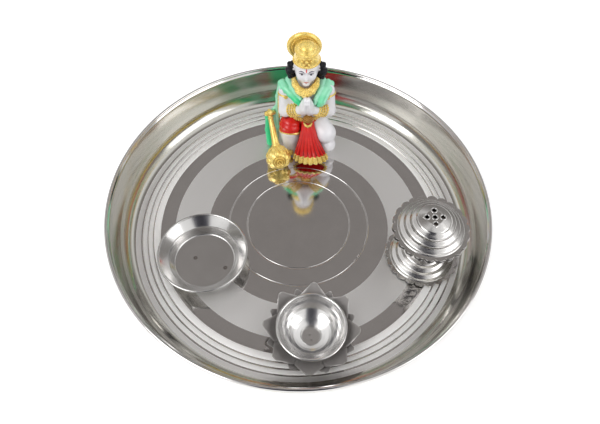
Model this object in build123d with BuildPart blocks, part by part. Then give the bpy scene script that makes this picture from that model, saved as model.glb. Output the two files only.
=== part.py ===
from build123d import *
import os
from math import sqrt

# Puja thali: a spun steel plate that carries a small bowl, a lotus lamp, an incense stand and a
# kneeling painted figure. Millimetres, +Z up, origin at the centre of the plate's underside.

# Cuts and seats
overrun = 2.0
seat_gap = 0.1
fit_gap = 0.05

# Plate
plate_sheet = 0.8
plate_radius = 130.0
rim_height = 31.7
rim_bead_radius = 1.1
cove_corner_share = 0.90615
cove_bend = 8.0
lip_corner_share = 0.95923
lip_rise = 4.4
lip_corner_height = rim_height - lip_rise
lip_bend = 5.0
floor_bead_height = 0.35
floor_bead_edge_shares = [(0.7569, 0.7938), (0.7992, 0.8246), (0.8277, 0.8569)]
scribed_ring_radius_shares = [0.2831, 0.3846]
scribed_ring_width = 1.2
scribed_ring_depth = 0.25

# Katori, the small bowl
bowl_x_share = -0.49385
bowl_y_share = -0.24615
bowl_sheet = 0.7
bowl_radius = 30.5
bowl_height = 13.5
bowl_floor_radius = 20.9
bowl_floor_bend = 1.5
bowl_shoulder_radius = 23.9
bowl_shoulder_height = 6.7
bowl_shoulder_bend = 4.0
bowl_bead_radius = 0.8

# Diya, the lamp: a bowl on two lotus sheets
diya_x_share = 0.07308
diya_y_share = -0.66154
diya_sheet = 0.7
diya_radius = 22.4
diya_height = 18.6
diya_bead_radius = 0.95
well_radius = 6.05
well_step_radius = 6.6
well_step_height = 1.1
well_bend = 0.5
diya_belly_radius = 18.0
diya_belly_height = 6.6
diya_belly_bend = 18.0
lotus_sheet = 0.6
petal_count = 8
lotus_disc_radius = 10.0
lotus_disc_bend = 3.0
lotus_knee_bend = 12.0
petal_root_half_width = 3.6
petal_belly_reach = 20.0
petal_belly_half_width = 7.3
petal_shoulder_half_width = 4.6
petal_shoulder_length = 3.2
upper_petal_reach = 30.4
upper_petal_height = 16.7
upper_petal_knee_reach = 24.0
upper_petal_knee_height = 10.4
upper_petal_turn = -3.0
lower_petal_reach = 28.8
lower_petal_height = 13.4
lower_petal_knee_reach = 22.5
lower_petal_knee_height = 7.4
lower_petal_turn = upper_petal_turn + 180 / petal_count

# Incense stand: base, neck, cup and a lift-off cap, all from one stepped pressing
stand_x_share = 0.66154
stand_y_share = -0.18923
stand_sheet = 0.6
step_count = 4
dome_flat_radius = 6.9
dome_flat_bend = 3.0
dome_top_radius = 10.6
dome_top_drop = 1.4
tread_width = 2.65
tread_drop = 1.2
riser_width = 0.7
riser_drop = 2.15
step_outer_bend = 1.1
step_inner_bend = 0.45
stand_bead_radius = 0.9
flange_radius = 23.9
scallop_count = 22
scallop_radius = 2.6
neck_radius = 6.2
neck_waist_radius = 4.6
neck_height = 5.6
rivet_radius = 1.6
rivet_head_radius = 3.0
rivet_head_height = 1.2
stick_hole_radius = 1.3
stick_circle_radius = 5.1
stick_hole_count = 4

# Kneeling figure: its height and place, with the rest as shares of that height.
# A place is written as (to its left, behind, up) and a girth as a radius.
figure_height = 100.0
figure_x_share = 0.02769
figure_y_share = 0.58462
chain_tuck_share = 0.94
cuff_taper_share = 0.96
seat_section_shares = [
    (0.0, 0.040, 0.155, 0.135),
    (0.10, 0.040, 0.172, 0.150),
    (0.22, 0.030, 0.152, 0.122),
    (0.33, 0.010, 0.120, 0.088),
]
chest_section_shares = [
    (0.33, 0.010, 0.120, 0.088),
    (0.44, 0.012, 0.140, 0.094),
    (0.54, 0.018, 0.165, 0.096),
    (0.60, 0.018, 0.140, 0.080),
    (0.64, 0.012, 0.072, 0.062),
]
neck_share = ((0.0, 0.010, 0.62), (0.0, 0.006, 0.70), 0.052, 0.054)
skull_share = ((0.0, 0.002, 0.757), (0.0, 0.006, 0.826), 0.079, 0.087)
nose_share = ((0.0, -0.082, 0.790), (0.0, -0.090, 0.762), 0.008, 0.013)
ear_shares = [
    ((-0.088, 0.010, 0.775), (-0.094, 0.010, 0.795), 0.012, 0.013),
    ((0.088, 0.010, 0.775), (0.094, 0.010, 0.795), 0.012, 0.013),
]
hair_back_share = ((0.0, 0.044, 0.715), (0.0, 0.048, 0.800), 0.068, 0.084)
curl_shares = [
    ((-0.104, 0.015, 0.808), 0.032),
    ((-0.113, 0.008, 0.765), 0.035),
    ((-0.103, 0.015, 0.722), 0.034),
    ((0.104, 0.015, 0.812), 0.032),
    ((0.113, 0.008, 0.768), 0.035),
    ((0.103, 0.015, 0.722), 0.034),
]
crown_centre_share = (0.0, 0.004)
crown_outline_shares = [(0.098, 0.850), (0.100, 0.872), (0.088, 0.956), (0.072, 0.966), (0.060, 0.980)]
crown_top_share = 0.996
halo_centre_share = (0.0, 0.110, 0.874)
halo_ring_radius_share = 0.106
halo_ring_girth_share = 0.019
halo_disc_thickness_share = 0.018
right_arm_shares = [
    ((-0.162, 0.015, 0.565), 0.056),
    ((-0.184, -0.035, 0.382), 0.046),
    ((-0.042, -0.130, 0.478), 0.033),
]
left_arm_shares = [
    ((0.168, 0.015, 0.560), 0.056),
    ((0.196, -0.035, 0.382), 0.046),
    ((0.056, -0.130, 0.478), 0.033),
]
palm_shares = [
    ((-0.014, -0.132, 0.478), (-0.006, -0.166, 0.585)),
    ((0.029, -0.132, 0.478), (0.021, -0.166, 0.585)),
]
palm_base_radius_share = 0.034
palm_tip_radius_share = 0.020
bangle_span_shares = (0.56, 0.72)
bangle_radius_share = 0.046
armlet_span_shares = (0.40, 0.46)
armlet_radius_share = 0.061
necklace_shares = [
    ((-0.080, -0.010, 0.650), 0.021),
    ((-0.052, -0.078, 0.612), 0.028),
    ((0.004, -0.092, 0.575), 0.036),
    ((0.058, -0.078, 0.612), 0.028),
    ((0.082, -0.010, 0.650), 0.021),
]
thigh_wrap_share = ((-0.070, 0.020, 0.215), (-0.110, -0.058, 0.250), 0.098, 0.086)
right_shin_share = ((-0.112, -0.066, 0.215), (-0.115, -0.070, 0.050), 0.074, 0.056)
right_foot_share = ((-0.115, -0.080, 0.036), (-0.112, -0.160, 0.028), 0.040, 0.030)
wrap_hem_centre_share = (-0.112, -0.067, 0.195)
wrap_hem_radius_share = 0.076
wrap_hem_girth_share = 0.012
left_thigh_share = ((0.080, 0.0, 0.205), (0.163, -0.078, 0.120), 0.098, 0.087)
left_shin_share = ((0.166, -0.076, 0.080), (0.165, 0.070, 0.058), 0.076, 0.056)
belt_level_share = 0.335
belt_height_share = 0.036
belt_half_width_share = 0.137
belt_half_depth_share = 0.106
belt_centre_share = (0.0, 0.011)
buckle_centre_share = (0.010, -0.105, 0.342)
buckle_radius_share = 0.038
buckle_face_radius_share = 0.028
buckle_depth_share = 0.026
sash_section_shares = [
    (0.055, 0.038, -0.165, 0.116, 0.072),
    (0.15, 0.026, -0.150, 0.066, 0.060),
    (0.25, 0.016, -0.120, 0.044, 0.048),
    (0.322, 0.012, -0.092, 0.038, 0.034),
]
sash_hem_section_shares = [
    (0.0, 0.042, -0.166, 0.136, 0.086),
    (0.055, 0.038, -0.165, 0.126, 0.080),
]
mace_head_centre_share = (-0.203, -0.235, 0.088)
mace_tip_share = (-0.280, 0.030, 0.318)
mace_head_radius_share = 0.090
mace_ring_girth_share = 0.014
mace_ring_offset_shares = [-0.052, 0.0, 0.052]
mace_shaft_radius_share = 0.021
mace_knob_radius_share = 0.036
mace_knob_length_share = 0.030
right_band_shares = [
    ((-0.135, 0.030, 0.610), 0.058),
    ((-0.105, -0.075, 0.570), 0.050),
    ((-0.050, -0.112, 0.515), 0.036),
]
left_band_shares = [
    ((0.135, 0.030, 0.610), 0.058),
    ((0.120, -0.075, 0.560), 0.050),
    ((0.105, -0.112, 0.500), 0.036),
]
cape_section_shares = [
    (0.0, 0.120, 0.175, 0.075),
    (0.20, 0.115, 0.180, 0.075),
    (0.42, 0.085, 0.185, 0.070),
    (0.56, 0.060, 0.180, 0.070),
    (0.635, 0.050, 0.110, 0.055),
]
tail_shares = [
    ((-0.195, 0.060, 0.520), 0.034),
    ((-0.225, 0.075, 0.260), 0.042),
    ((-0.235, 0.060, 0.050), 0.050),
]

# Places on the plate, as shares of its radius
bowl_x = bowl_x_share * plate_radius
bowl_y = bowl_y_share * plate_radius
diya_x = diya_x_share * plate_radius
diya_y = diya_y_share * plate_radius
stand_x = stand_x_share * plate_radius
stand_y = stand_y_share * plate_radius
figure_x = figure_x_share * plate_radius
figure_y = figure_y_share * plate_radius

# Levels that pieces seat on
floor_level = plate_sheet
stand_level = floor_level + floor_bead_height + seat_gap
steps_drop = step_count * riser_drop + (step_count - 1) * tread_drop
dome_height = stand_sheet / 2 + dome_top_drop + steps_drop + stand_bead_radius


def upright(place):
    """The upright plane through a place, with local X outwards and local Y upwards."""
    return Plane(origin=place, x_dir=(1, 0, 0), z_dir=(0, -1, 0))


def spin_sheet(points, bends, thickness, place, bead_radius):
    """Spin a bent sheet about the upright axis through place, with a rolled bead on its edge."""
    with BuildSketch(upright(place)) as section:
        with BuildLine():
            FilletPolyline(*points, radius=bends)
        trace(line_width=thickness)
        if bead_radius:
            with Locations(points[-1]):
                Circle(bead_radius)
    revolve(section.sketch, axis=Axis(place, (0, 0, 1)))


def spin_lens(inner, outer, level, rise, root, mode):
    """Spin a shallow lens between two radii: a bead where it rises, a groove where it sinks."""
    with BuildSketch(Plane.XZ) as section:
        with BuildLine():
            ThreePointArc((inner, level), ((inner + outer) / 2, level + rise), (outer, level))
            Polyline((outer, level), (outer, level + root), (inner, level + root), (inner, level))
        make_face()
    revolve(section.sketch, axis=Axis.Z, mode=mode)


def at(share):
    """The place on the plate of a share of the figure."""
    across, behind, up = share
    return Vector(
        figure_x + across * figure_height,
        figure_y + behind * figure_height,
        floor_level + up * figure_height,
    )


def lengthways(start, along):
    """A plane at start with its local X along a direction."""
    leans_little = abs(along.Z) < along.length / 2
    side = along.cross(Vector(0, 0, 1) if leans_little else Vector(1, 0, 0))
    return Plane(origin=start, x_dir=along, z_dir=side)


def limb(start, end, start_radius, end_radius):
    """A round-ended limb that tapers from one place to another."""
    along = end - start
    length = along.length
    lean = (start_radius - end_radius) / length
    rise = sqrt(1 - lean * lean)
    start_edge = Vector(start_radius * lean, start_radius * rise)
    end_edge = Vector(length + end_radius * lean, end_radius * rise)
    start_bow = Vector(-start_radius, 0) + start_edge
    end_bow = Vector(end_radius, 0) + end_edge - Vector(length, 0)
    with BuildSketch(lengthways(start, along)) as outline:
        with BuildLine():
            ThreePointArc((-start_radius, 0), start_bow.normalized() * start_radius, start_edge)
            Line(start_edge, end_edge)
            ThreePointArc(
                end_edge,
                Vector(length, 0) + end_bow.normalized() * end_radius,
                (length + end_radius, 0),
            )
            Line((length + end_radius, 0), (-start_radius, 0))
        make_face()
    revolve(outline.sketch, axis=Axis(start, along))


def figure_limb(share):
    """A limb of the figure from a row of two places and two girths."""
    start, end, start_girth, end_girth = share
    limb(at(start), at(end), start_girth * figure_height, end_girth * figure_height)


def figure_chain(shares):
    """Limbs of the figure that follow one another through a table of places and girths."""
    tuck_share = 1
    for (start, start_girth), (end, end_girth) in zip(shares, shares[1:]):
        figure_limb((start, end, start_girth * tuck_share, end_girth))
        tuck_share = chain_tuck_share


def figure_stack(shares):
    """A loft through level ellipses of the figure: up, behind, half width, half depth."""
    sections = []
    for up, behind, half_width, half_depth in shares:
        with BuildSketch(Plane(at((0, behind, up)))) as section:
            Ellipse(half_width * figure_height, half_depth * figure_height)
        sections.append(section.sketch)
    loft(sections)


def cut_by(*pieces):
    """Take the space that other pieces fill out of the piece being made."""
    for piece in pieces:
        add(piece.part, mode=Mode.SUBTRACT)


def cut_below_floor():
    """Trim the piece being made flat where it stands on the plate."""
    with Locations((figure_x, figure_y, floor_level)):
        Box(
            figure_height,
            figure_height,
            figure_height,
            align=(Align.CENTER, Align.CENTER, Align.MAX),
            mode=Mode.SUBTRACT,
        )


# Thali plate
with BuildPart() as thali_plate:
    half_sheet = plate_sheet / 2
    spin_sheet(
        [
            (0, half_sheet),
            (cove_corner_share * plate_radius, half_sheet),
            (lip_corner_share * plate_radius, lip_corner_height),
            (plate_radius - rim_bead_radius, rim_height - rim_bead_radius),
        ],
        [cove_bend, lip_bend],
        plate_sheet,
        (0, 0, 0),
        rim_bead_radius,
    )
    for edge_shares in floor_bead_edge_shares:
        inner, outer = (share * plate_radius for share in edge_shares)
        spin_lens(inner, outer, floor_level, floor_bead_height, -half_sheet, Mode.ADD)
    for radius_share in scribed_ring_radius_shares:
        inner = radius_share * plate_radius - scribed_ring_width / 2
        outer = radius_share * plate_radius + scribed_ring_width / 2
        spin_lens(inner, outer, floor_level, -scribed_ring_depth, half_sheet, Mode.SUBTRACT)

# Katori
with BuildPart() as katori:
    spin_sheet(
        [
            (0, bowl_sheet / 2),
            (bowl_floor_radius, bowl_sheet / 2),
            (bowl_shoulder_radius, bowl_shoulder_height),
            (bowl_radius - bowl_bead_radius, bowl_height - bowl_bead_radius),
        ],
        [bowl_floor_bend, bowl_shoulder_bend],
        bowl_sheet,
        (bowl_x, bowl_y, floor_level),
        bowl_bead_radius,
    )


def lotus(reach, height, knee_reach, knee_height, turn, level):
    """A stamped lotus: a dished sheet cut to its petals around a flat centre disc."""
    place = (diya_x, diya_y, level)
    middle = lotus_sheet / 2
    spin_sheet(
        [(0, middle), (lotus_disc_radius, middle), (knee_reach, knee_height), (reach, height)],
        [lotus_disc_bend, lotus_knee_bend],
        lotus_sheet,
        place,
        0,
    )
    shoulder = reach - petal_shoulder_length
    with BuildSketch(Plane(place)) as plan:
        Circle(lotus_disc_radius)
        with PolarLocations(0, petal_count, start_angle=turn):
            with BuildLine(mode=Mode.PRIVATE) as petal:
                Polyline(
                    (shoulder, -petal_shoulder_half_width),
                    (petal_belly_reach, -petal_belly_half_width),
                    (0, -petal_root_half_width),
                    (0, petal_root_half_width),
                    (petal_belly_reach, petal_belly_half_width),
                    (shoulder, petal_shoulder_half_width),
                )
                ThreePointArc(
                    (shoulder, petal_shoulder_half_width),
                    (reach, 0),
                    (shoulder, -petal_shoulder_half_width),
                )
            add(make_face(petal.line, mode=Mode.PRIVATE))
    extrude(plan.sketch, amount=height + overrun, mode=Mode.INTERSECT)


# Lower lotus, flat on the plate
with BuildPart() as lotus_lower:
    lotus(
        lower_petal_reach,
        lower_petal_height,
        lower_petal_knee_reach,
        lower_petal_knee_height,
        lower_petal_turn,
        floor_level,
    )

# Upper lotus, stacked on the lower one
with BuildPart() as lotus_upper:
    lotus(
        upper_petal_reach,
        upper_petal_height,
        upper_petal_knee_reach,
        upper_petal_knee_height,
        upper_petal_turn,
        floor_level + lotus_sheet,
    )

# Diya bowl, stacked on both
with BuildPart() as diya_bowl:
    diya_seat = 2 * lotus_sheet
    well_level = diya_sheet / 2
    spin_sheet(
        [
            (0, well_level),
            (well_radius, well_level),
            (well_step_radius, well_level + well_step_height),
            (diya_belly_radius, diya_belly_height - diya_seat),
            (diya_radius - diya_bead_radius, diya_height - diya_seat - diya_bead_radius),
        ],
        [well_bend, well_bend, diya_belly_bend],
        diya_sheet,
        (diya_x, diya_y, floor_level + diya_seat),
        diya_bead_radius,
    )


def stepped_dome(base_level, way):
    """The stand's pressing: a stepped dome, its rim bead and its scalloped flange.

    way is 1 for a dome that rises from base_level and -1 for a cup that hangs from it.
    """
    place = (stand_x, stand_y, base_level)
    level = dome_height - stand_sheet / 2
    points = [(0, level), (dome_flat_radius, level)]
    bends = [dome_flat_bend]
    radius = dome_top_radius
    level -= dome_top_drop
    for step in range(step_count):
        points.append((radius, level))
        bends.append(step_outer_bend)
        radius += riser_width
        level -= riser_drop
        points.append((radius, level))
        bends.append(step_inner_bend)
        radius += tread_width
        level -= tread_drop
    bends.pop()
    bead_ring_radius = points[-1][0]
    points = [(radius, way * level) for radius, level in points]
    spin_sheet(points, bends, stand_sheet, place, stand_bead_radius)
    with BuildSketch(Plane(place).offset(way * stand_bead_radius)) as flange:
        Circle(flange_radius)
        with PolarLocations(flange_radius - scallop_radius / 2, scallop_count):
            Circle(scallop_radius)
        Circle(bead_ring_radius, mode=Mode.SUBTRACT)
    extrude(flange.sketch, amount=way * stand_sheet)


def stand_hole(radius, level):
    """An upright hole on the stand's axis, through the sheets around one level."""
    with Locations((stand_x, stand_y, level)):
        Cylinder(radius, 2 * (rivet_head_height + stand_sheet), mode=Mode.SUBTRACT)


base_top = stand_level + dome_height
cup_bottom = base_top + neck_height
cup_top = cup_bottom + dome_height
cap_level = cup_top + seat_gap

# Incense base
with BuildPart() as incense_base:
    stepped_dome(stand_level, 1)
    stand_hole(rivet_radius + fit_gap, base_top)

# Incense cup, the same pressing upside down
with BuildPart() as incense_cup:
    stepped_dome(cup_top, -1)
    stand_hole(rivet_radius + fit_gap, cup_bottom)

# Neck spool between base and cup
with BuildPart() as incense_neck:
    with BuildSketch(upright((stand_x, stand_y, base_top))) as spool:
        with BuildLine():
            Polyline((neck_radius, 0), (0, 0), (0, neck_height), (neck_radius, neck_height))
            ThreePointArc(
                (neck_radius, neck_height), (neck_waist_radius, neck_height / 2), (neck_radius, 0)
            )
        make_face()
    revolve(spool.sketch, axis=Axis((stand_x, stand_y, base_top), (0, 0, 1)))
    with Locations((stand_x, stand_y, base_top + neck_height / 2)):
        Cylinder(rivet_radius + fit_gap, neck_height + overrun, mode=Mode.SUBTRACT)

# Rivet through base, neck and cup
with BuildPart() as neck_rivet:
    shank = neck_height + 2 * stand_sheet
    with Locations((stand_x, stand_y, base_top + neck_height / 2)):
        Cylinder(rivet_radius, shank)
    for level, way in ((base_top - stand_sheet, Align.MAX), (cup_bottom + stand_sheet, Align.MIN)):
        with Locations((stand_x, stand_y, level)):
            Cylinder(rivet_head_radius, rivet_head_height, align=(Align.CENTER, Align.CENTER, way))

# Incense cap with its stick holes
with BuildPart() as incense_cap:
    stepped_dome(cap_level, 1)
    cap_crown = cap_level + dome_height
    stand_hole(stick_hole_radius, cap_crown)
    with Locations((stand_x, stand_y, cap_crown)):
        with PolarLocations(stick_circle_radius, stick_hole_count):
            Cylinder(stick_hole_radius, 2 * (dome_top_drop + stand_sheet), mode=Mode.SUBTRACT)

# Seat cloth, the hips of the figure
with BuildPart() as seat_cloth:
    figure_stack(seat_section_shares)

# Chest
with BuildPart() as chest:
    figure_stack(chest_section_shares)

# Head with its neck, nose and ears
with BuildPart() as head:
    figure_limb(skull_share)
    figure_limb(neck_share)
    figure_limb(nose_share)
    for ear_share in ear_shares:
        figure_limb(ear_share)
    cut_by(chest)

# Crown: a flared band with a small dome
with BuildPart() as crown:
    crown_axis = at((*crown_centre_share, 0))
    with BuildSketch(upright(crown_axis)) as crown_section:
        with BuildLine():
            crown_points = [(r * figure_height, up * figure_height) for r, up in crown_outline_shares]
            Polyline((0, crown_points[0][1]), *crown_points)
            crown_tip = (0, crown_top_share * figure_height)
            Polyline(crown_points[-1], crown_tip, (0, crown_points[0][1]))
        make_face()
    revolve(crown_section.sketch, axis=Axis(crown_axis, (0, 0, 1)))
    cut_by(head)

# Hair: a back knot and three curls on each side
with BuildPart() as hair:
    figure_limb(hair_back_share)
    for place_share, girth_share in curl_shares:
        with Locations(at(place_share)):
            Sphere(girth_share * figure_height)
    cut_by(head, crown, chest)

# Halo: an upright disc with a round rim, behind the crown
with BuildPart() as halo:
    halo_centre = at(halo_centre_share)
    halo_ring = halo_ring_radius_share * figure_height
    halo_thickness = halo_disc_thickness_share * figure_height
    with BuildSketch(Plane(origin=halo_centre, x_dir=(1, 0, 0), z_dir=(0, 0, 1))) as halo_section:
        Rectangle(halo_ring, halo_thickness, align=(Align.MIN, Align.CENTER))
        with Locations((halo_ring, 0)):
            Circle(halo_ring_girth_share * figure_height)
    revolve(halo_section.sketch, axis=Axis(halo_centre, (0, 1, 0)))
    cut_by(crown, hair, head)

# Arms
with BuildPart() as right_arm:
    figure_chain(right_arm_shares)
    cut_by(chest)

with BuildPart() as left_arm:
    figure_chain(left_arm_shares)
    cut_by(chest)

# Joined hands
with BuildPart() as hands:
    for start_share, end_share in palm_shares:
        figure_limb((start_share, end_share, palm_base_radius_share, palm_tip_radius_share))
    cut_by(right_arm, left_arm, chest)


def cuff(places, span, girth_share):
    """A bead round part of a limb, between two shares of its length."""
    start, end = (at(place_share) for place_share, _ in places)
    near, far = (start + (end - start) * share for share in span)
    limb(near, far, girth_share * figure_height, girth_share * figure_height * cuff_taper_share)


# Bangles on the forearms
with BuildPart() as bangles:
    for arm_shares in (right_arm_shares, left_arm_shares):
        cuff(arm_shares[1:], bangle_span_shares, bangle_radius_share)
    cut_by(right_arm, left_arm, hands, chest)

# Armlets on the upper arms
with BuildPart() as armlets:
    for arm_shares in (right_arm_shares, left_arm_shares):
        cuff(arm_shares[:2], armlet_span_shares, armlet_radius_share)
    cut_by(right_arm, left_arm, chest)

# Necklace: a broad collar that hangs in a bow from the neck
with BuildPart() as necklace:
    figure_chain(necklace_shares)
    cut_by(chest, head, hair)

# Belt and buckle
with BuildPart() as belt:
    with BuildSketch(Plane(at((*belt_centre_share, belt_level_share)))) as belt_plan:
        Ellipse(belt_half_width_share * figure_height, belt_half_depth_share * figure_height)
    extrude(belt_plan.sketch, amount=belt_height_share * figure_height)
    cut_by(chest)

with BuildPart() as buckle:
    with Locations(Plane(origin=at(buckle_centre_share), z_dir=(0, -1, 0))):
        Cone(
            buckle_radius_share * figure_height,
            buckle_face_radius_share * figure_height,
            buckle_depth_share * figure_height,
        )
    cut_by(belt)

# Cloth over the raised thigh
with BuildPart() as thigh_wrap:
    figure_limb(thigh_wrap_share)
    cut_by(seat_cloth, chest, belt, buckle)

# Right leg, with its knee raised and its foot on the plate
with BuildPart() as right_leg:
    figure_limb(right_shin_share)
    figure_limb(right_foot_share)
    cut_below_floor()
    cut_by(thigh_wrap, seat_cloth)

# Left leg, kneeling, as a thigh and a shin
with BuildPart() as left_thigh:
    figure_limb(left_thigh_share)
    cut_by(seat_cloth, buckle)

with BuildPart() as left_shin:
    figure_limb(left_shin_share)
    cut_below_floor()
    cut_by(left_thigh, seat_cloth)


def sash_stack(shares):
    """A loft through level ellipses of the sash: up, across, behind, half width, half depth."""
    sections = []
    for up, across, behind, half_width, half_depth in shares:
        with BuildSketch(Plane(at((across, behind, up)))) as section:
            Ellipse(half_width * figure_height, half_depth * figure_height)
        sections.append(section.sketch)
    loft(sections)


# Front sash and its hem
with BuildPart() as sash:
    sash_stack(sash_section_shares)
    cut_by(seat_cloth, buckle, thigh_wrap, right_leg, left_thigh, left_shin)

with BuildPart() as sash_hem:
    sash_stack(sash_hem_section_shares)
    cut_by(seat_cloth, right_leg, left_thigh, left_shin)

# Hem of the thigh cloth
with BuildPart() as wrap_hem:
    with Locations(at(wrap_hem_centre_share)):
        Torus(wrap_hem_radius_share * figure_height, wrap_hem_girth_share * figure_height)
    cut_by(right_leg, thigh_wrap, sash, seat_cloth)

# Mace: a ringed ball on the plate, with its shaft leaning back to a knob
with BuildPart() as mace:
    mace_centre = at(mace_head_centre_share)
    mace_axis = at(mace_tip_share) - mace_centre
    mace_length = mace_axis.length
    mace_radius = mace_head_radius_share * figure_height
    ring_girth = mace_ring_girth_share * figure_height
    with BuildSketch(lengthways(mace_centre, mace_axis)) as mace_section:
        Circle(mace_radius)
        for offset_share in mace_ring_offset_shares:
            offset_along = offset_share * figure_height
            with Locations((offset_along, sqrt(mace_radius**2 - offset_along**2))):
                Circle(ring_girth)
        Rectangle(
            mace_length,
            2 * mace_shaft_radius_share * figure_height,
            align=(Align.MIN, Align.CENTER),
        )
        with Locations((mace_length, 0)):
            Ellipse(mace_knob_length_share * figure_height, mace_knob_radius_share * figure_height)
        with Locations((mace_length / 2, 0)):
            Rectangle(
                figure_height, figure_height, align=(Align.CENTER, Align.MAX), mode=Mode.SUBTRACT
            )
    revolve(mace_section.sketch, axis=Axis(mace_centre, mace_axis))
    cut_below_floor()
    cut_by(right_leg)

# Shawl: two bands over the shoulders, a cape behind and a tail beside the mace
with BuildPart() as shawl:
    figure_stack(cape_section_shares)
    figure_chain(right_band_shares)
    figure_chain(left_band_shares)
    figure_chain(tail_shares)
    cut_below_floor()
    cut_by(chest, seat_cloth, head, hair, crown, halo, right_arm, left_arm, armlets, bangles, hands)
    cut_by(necklace, belt, thigh_wrap, right_leg, left_thigh, left_shin, mace)

pieces = {
    "thali_plate": thali_plate,
    "katori": katori,
    "lotus_lower": lotus_lower,
    "lotus_upper": lotus_upper,
    "diya_bowl": diya_bowl,
    "incense_base": incense_base,
    "incense_cup": incense_cup,
    "incense_neck": incense_neck,
    "neck_rivet": neck_rivet,
    "incense_cap": incense_cap,
    "seat_cloth": seat_cloth,
    "chest": chest,
    "head": head,
    "crown": crown,
    "hair": hair,
    "halo": halo,
    "right_arm": right_arm,
    "left_arm": left_arm,
    "hands": hands,
    "bangles": bangles,
    "armlets": armlets,
    "necklace": necklace,
    "thigh_wrap": thigh_wrap,
    "right_leg": right_leg,
    "left_thigh": left_thigh,
    "left_shin": left_shin,
    "belt": belt,
    "buckle": buckle,
    "sash": sash,
    "sash_hem": sash_hem,
    "wrap_hem": wrap_hem,
    "mace": mace,
    "shawl": shawl,
}
os.makedirs("parts", exist_ok=True)
for name, piece in pieces.items():
    piece.part.label = name
    export_step(piece.part, f"parts/{name}.step")
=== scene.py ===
# %% [markdown]
# A puja thali is a spun steel plate that holds what a small prayer at home needs: here a bowl, an oil
# lamp on a steel lotus, an incense stand and a painted resin figure that kneels with joined hands.
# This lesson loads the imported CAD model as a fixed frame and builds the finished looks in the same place,
# one piece at a time. Sizes of the object are written in millimetres and turned into metres for Blender.

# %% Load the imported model
from math import acos, atan2, ceil, cos, hypot, pi, radians, sin, sqrt, tan

import bmesh
import bpy
import numpy as np
from mathutils import Matrix, Vector


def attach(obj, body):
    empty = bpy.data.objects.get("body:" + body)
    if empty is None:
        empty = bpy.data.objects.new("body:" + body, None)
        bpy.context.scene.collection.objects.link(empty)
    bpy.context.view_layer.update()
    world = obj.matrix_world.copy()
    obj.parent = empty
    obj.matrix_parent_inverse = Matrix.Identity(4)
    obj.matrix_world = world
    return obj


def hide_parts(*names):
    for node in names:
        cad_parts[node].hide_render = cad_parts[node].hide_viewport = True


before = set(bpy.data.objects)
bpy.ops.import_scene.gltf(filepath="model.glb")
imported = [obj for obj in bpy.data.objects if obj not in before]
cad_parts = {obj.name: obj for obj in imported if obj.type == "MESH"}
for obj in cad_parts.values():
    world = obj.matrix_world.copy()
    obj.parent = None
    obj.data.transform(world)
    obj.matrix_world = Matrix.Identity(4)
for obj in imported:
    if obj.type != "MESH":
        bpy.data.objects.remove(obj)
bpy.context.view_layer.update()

mm = 0.001
scene = bpy.context.scene

# %% [markdown]
# The photograph was taken from the front and well above, with the camera tipped by about a degree.
# Its height, lens and tilt were found by matching the plate's rings to ellipses, so the render can be
# laid over the photograph. Colour goes through the Standard view, which shows a colour as it is written.

# %% Camera
scene.view_settings.view_transform = "Standard"
camera_height = radians(56.918)
camera_distance = 0.42785
camera_roll = 0.0188
camera_target = Vector((0.00099, 0.00963, 0.0008))
camera_back = Vector((0, -cos(camera_height), sin(camera_height)))
camera_data = bpy.data.cameras.new("camera")
camera_data.sensor_width = 36
camera_data.lens = 35.07
camera = bpy.data.objects.new("camera", camera_data)
camera_place = Matrix.Translation(camera_target + camera_back * camera_distance)
camera_turn = (-camera_back).to_track_quat("-Z", "Y").to_matrix().to_4x4()
camera.matrix_world = camera_place @ camera_turn @ Matrix.Rotation(camera_roll, 4, "Z")
scene.collection.objects.link(camera)
scene.camera = camera
print("camera at", [round(v, 3) for v in camera.location])

# %% [markdown]
# Shader and geometry trees are long to write by hand. A few small helpers add a node, set its options
# and fill its sockets: a socket of another node is linked, and anything else is set as a plain value.

# %% Helpers for nodes
def fill(tree, socket, value):
    if isinstance(value, bpy.types.Node):
        value = value.outputs[0]
    if isinstance(value, bpy.types.NodeSocket):
        tree.links.new(value, socket)
    else:
        socket.default_value = value


def node(tree, kind, sockets=None, **options):
    made = tree.nodes.new(kind)
    for name, value in options.items():
        setattr(made, name, value)
    for key, value in (sockets or {}).items():
        fill(tree, made.inputs[key], value)
    return made


def maths(tree, operation, *values):
    return node(tree, "ShaderNodeMath", dict(enumerate(values)), operation=operation)


def vectors(tree, operation, *values):
    return node(tree, "ShaderNodeVectorMath", dict(enumerate(values)), operation=operation)


def ramp(tree, factor, stops, smooth="LINEAR"):
    made = node(tree, "ShaderNodeValToRGB", {"Fac": factor})
    made.color_ramp.interpolation = smooth
    while len(made.color_ramp.elements) < len(stops):
        made.color_ramp.elements.new(1.0)
    for element, (place, value) in zip(made.color_ramp.elements, stops):
        element.position = place
        element.color = (value, value, value, 1) if isinstance(value, float) else (*value, 1)
    return made


def noise(tree, place, scale, detail, roughness=0.5):
    return node(tree, "ShaderNodeTexNoise", {
        "Vector": place, "Scale": scale, "Detail": detail, "Roughness": roughness})


def mixed(tree, factor, first, second):
    """A colour between two others, each of them a socket or three plain numbers."""
    made = node(tree, "ShaderNodeMix", data_type="RGBA")
    factor_socket, first_colour, second_colour = (made.inputs[i] for i in (0, 6, 7))
    for socket, value in ((factor_socket, factor), (first_colour, first), (second_colour, second)):
        fill(tree, socket, (*value, 1) if isinstance(value, tuple) else value)
    return made.outputs[2]


def finish_material(name):
    """A new material with its tree, its shader and its Object coordinates."""
    material = bpy.data.materials.new(name)
    material.use_nodes = True
    tree = material.node_tree
    shader = tree.nodes["Principled BSDF"]
    place = node(tree, "ShaderNodeTexCoord").outputs["Object"]
    return material, tree, shader, place


print("helpers ready")

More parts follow.
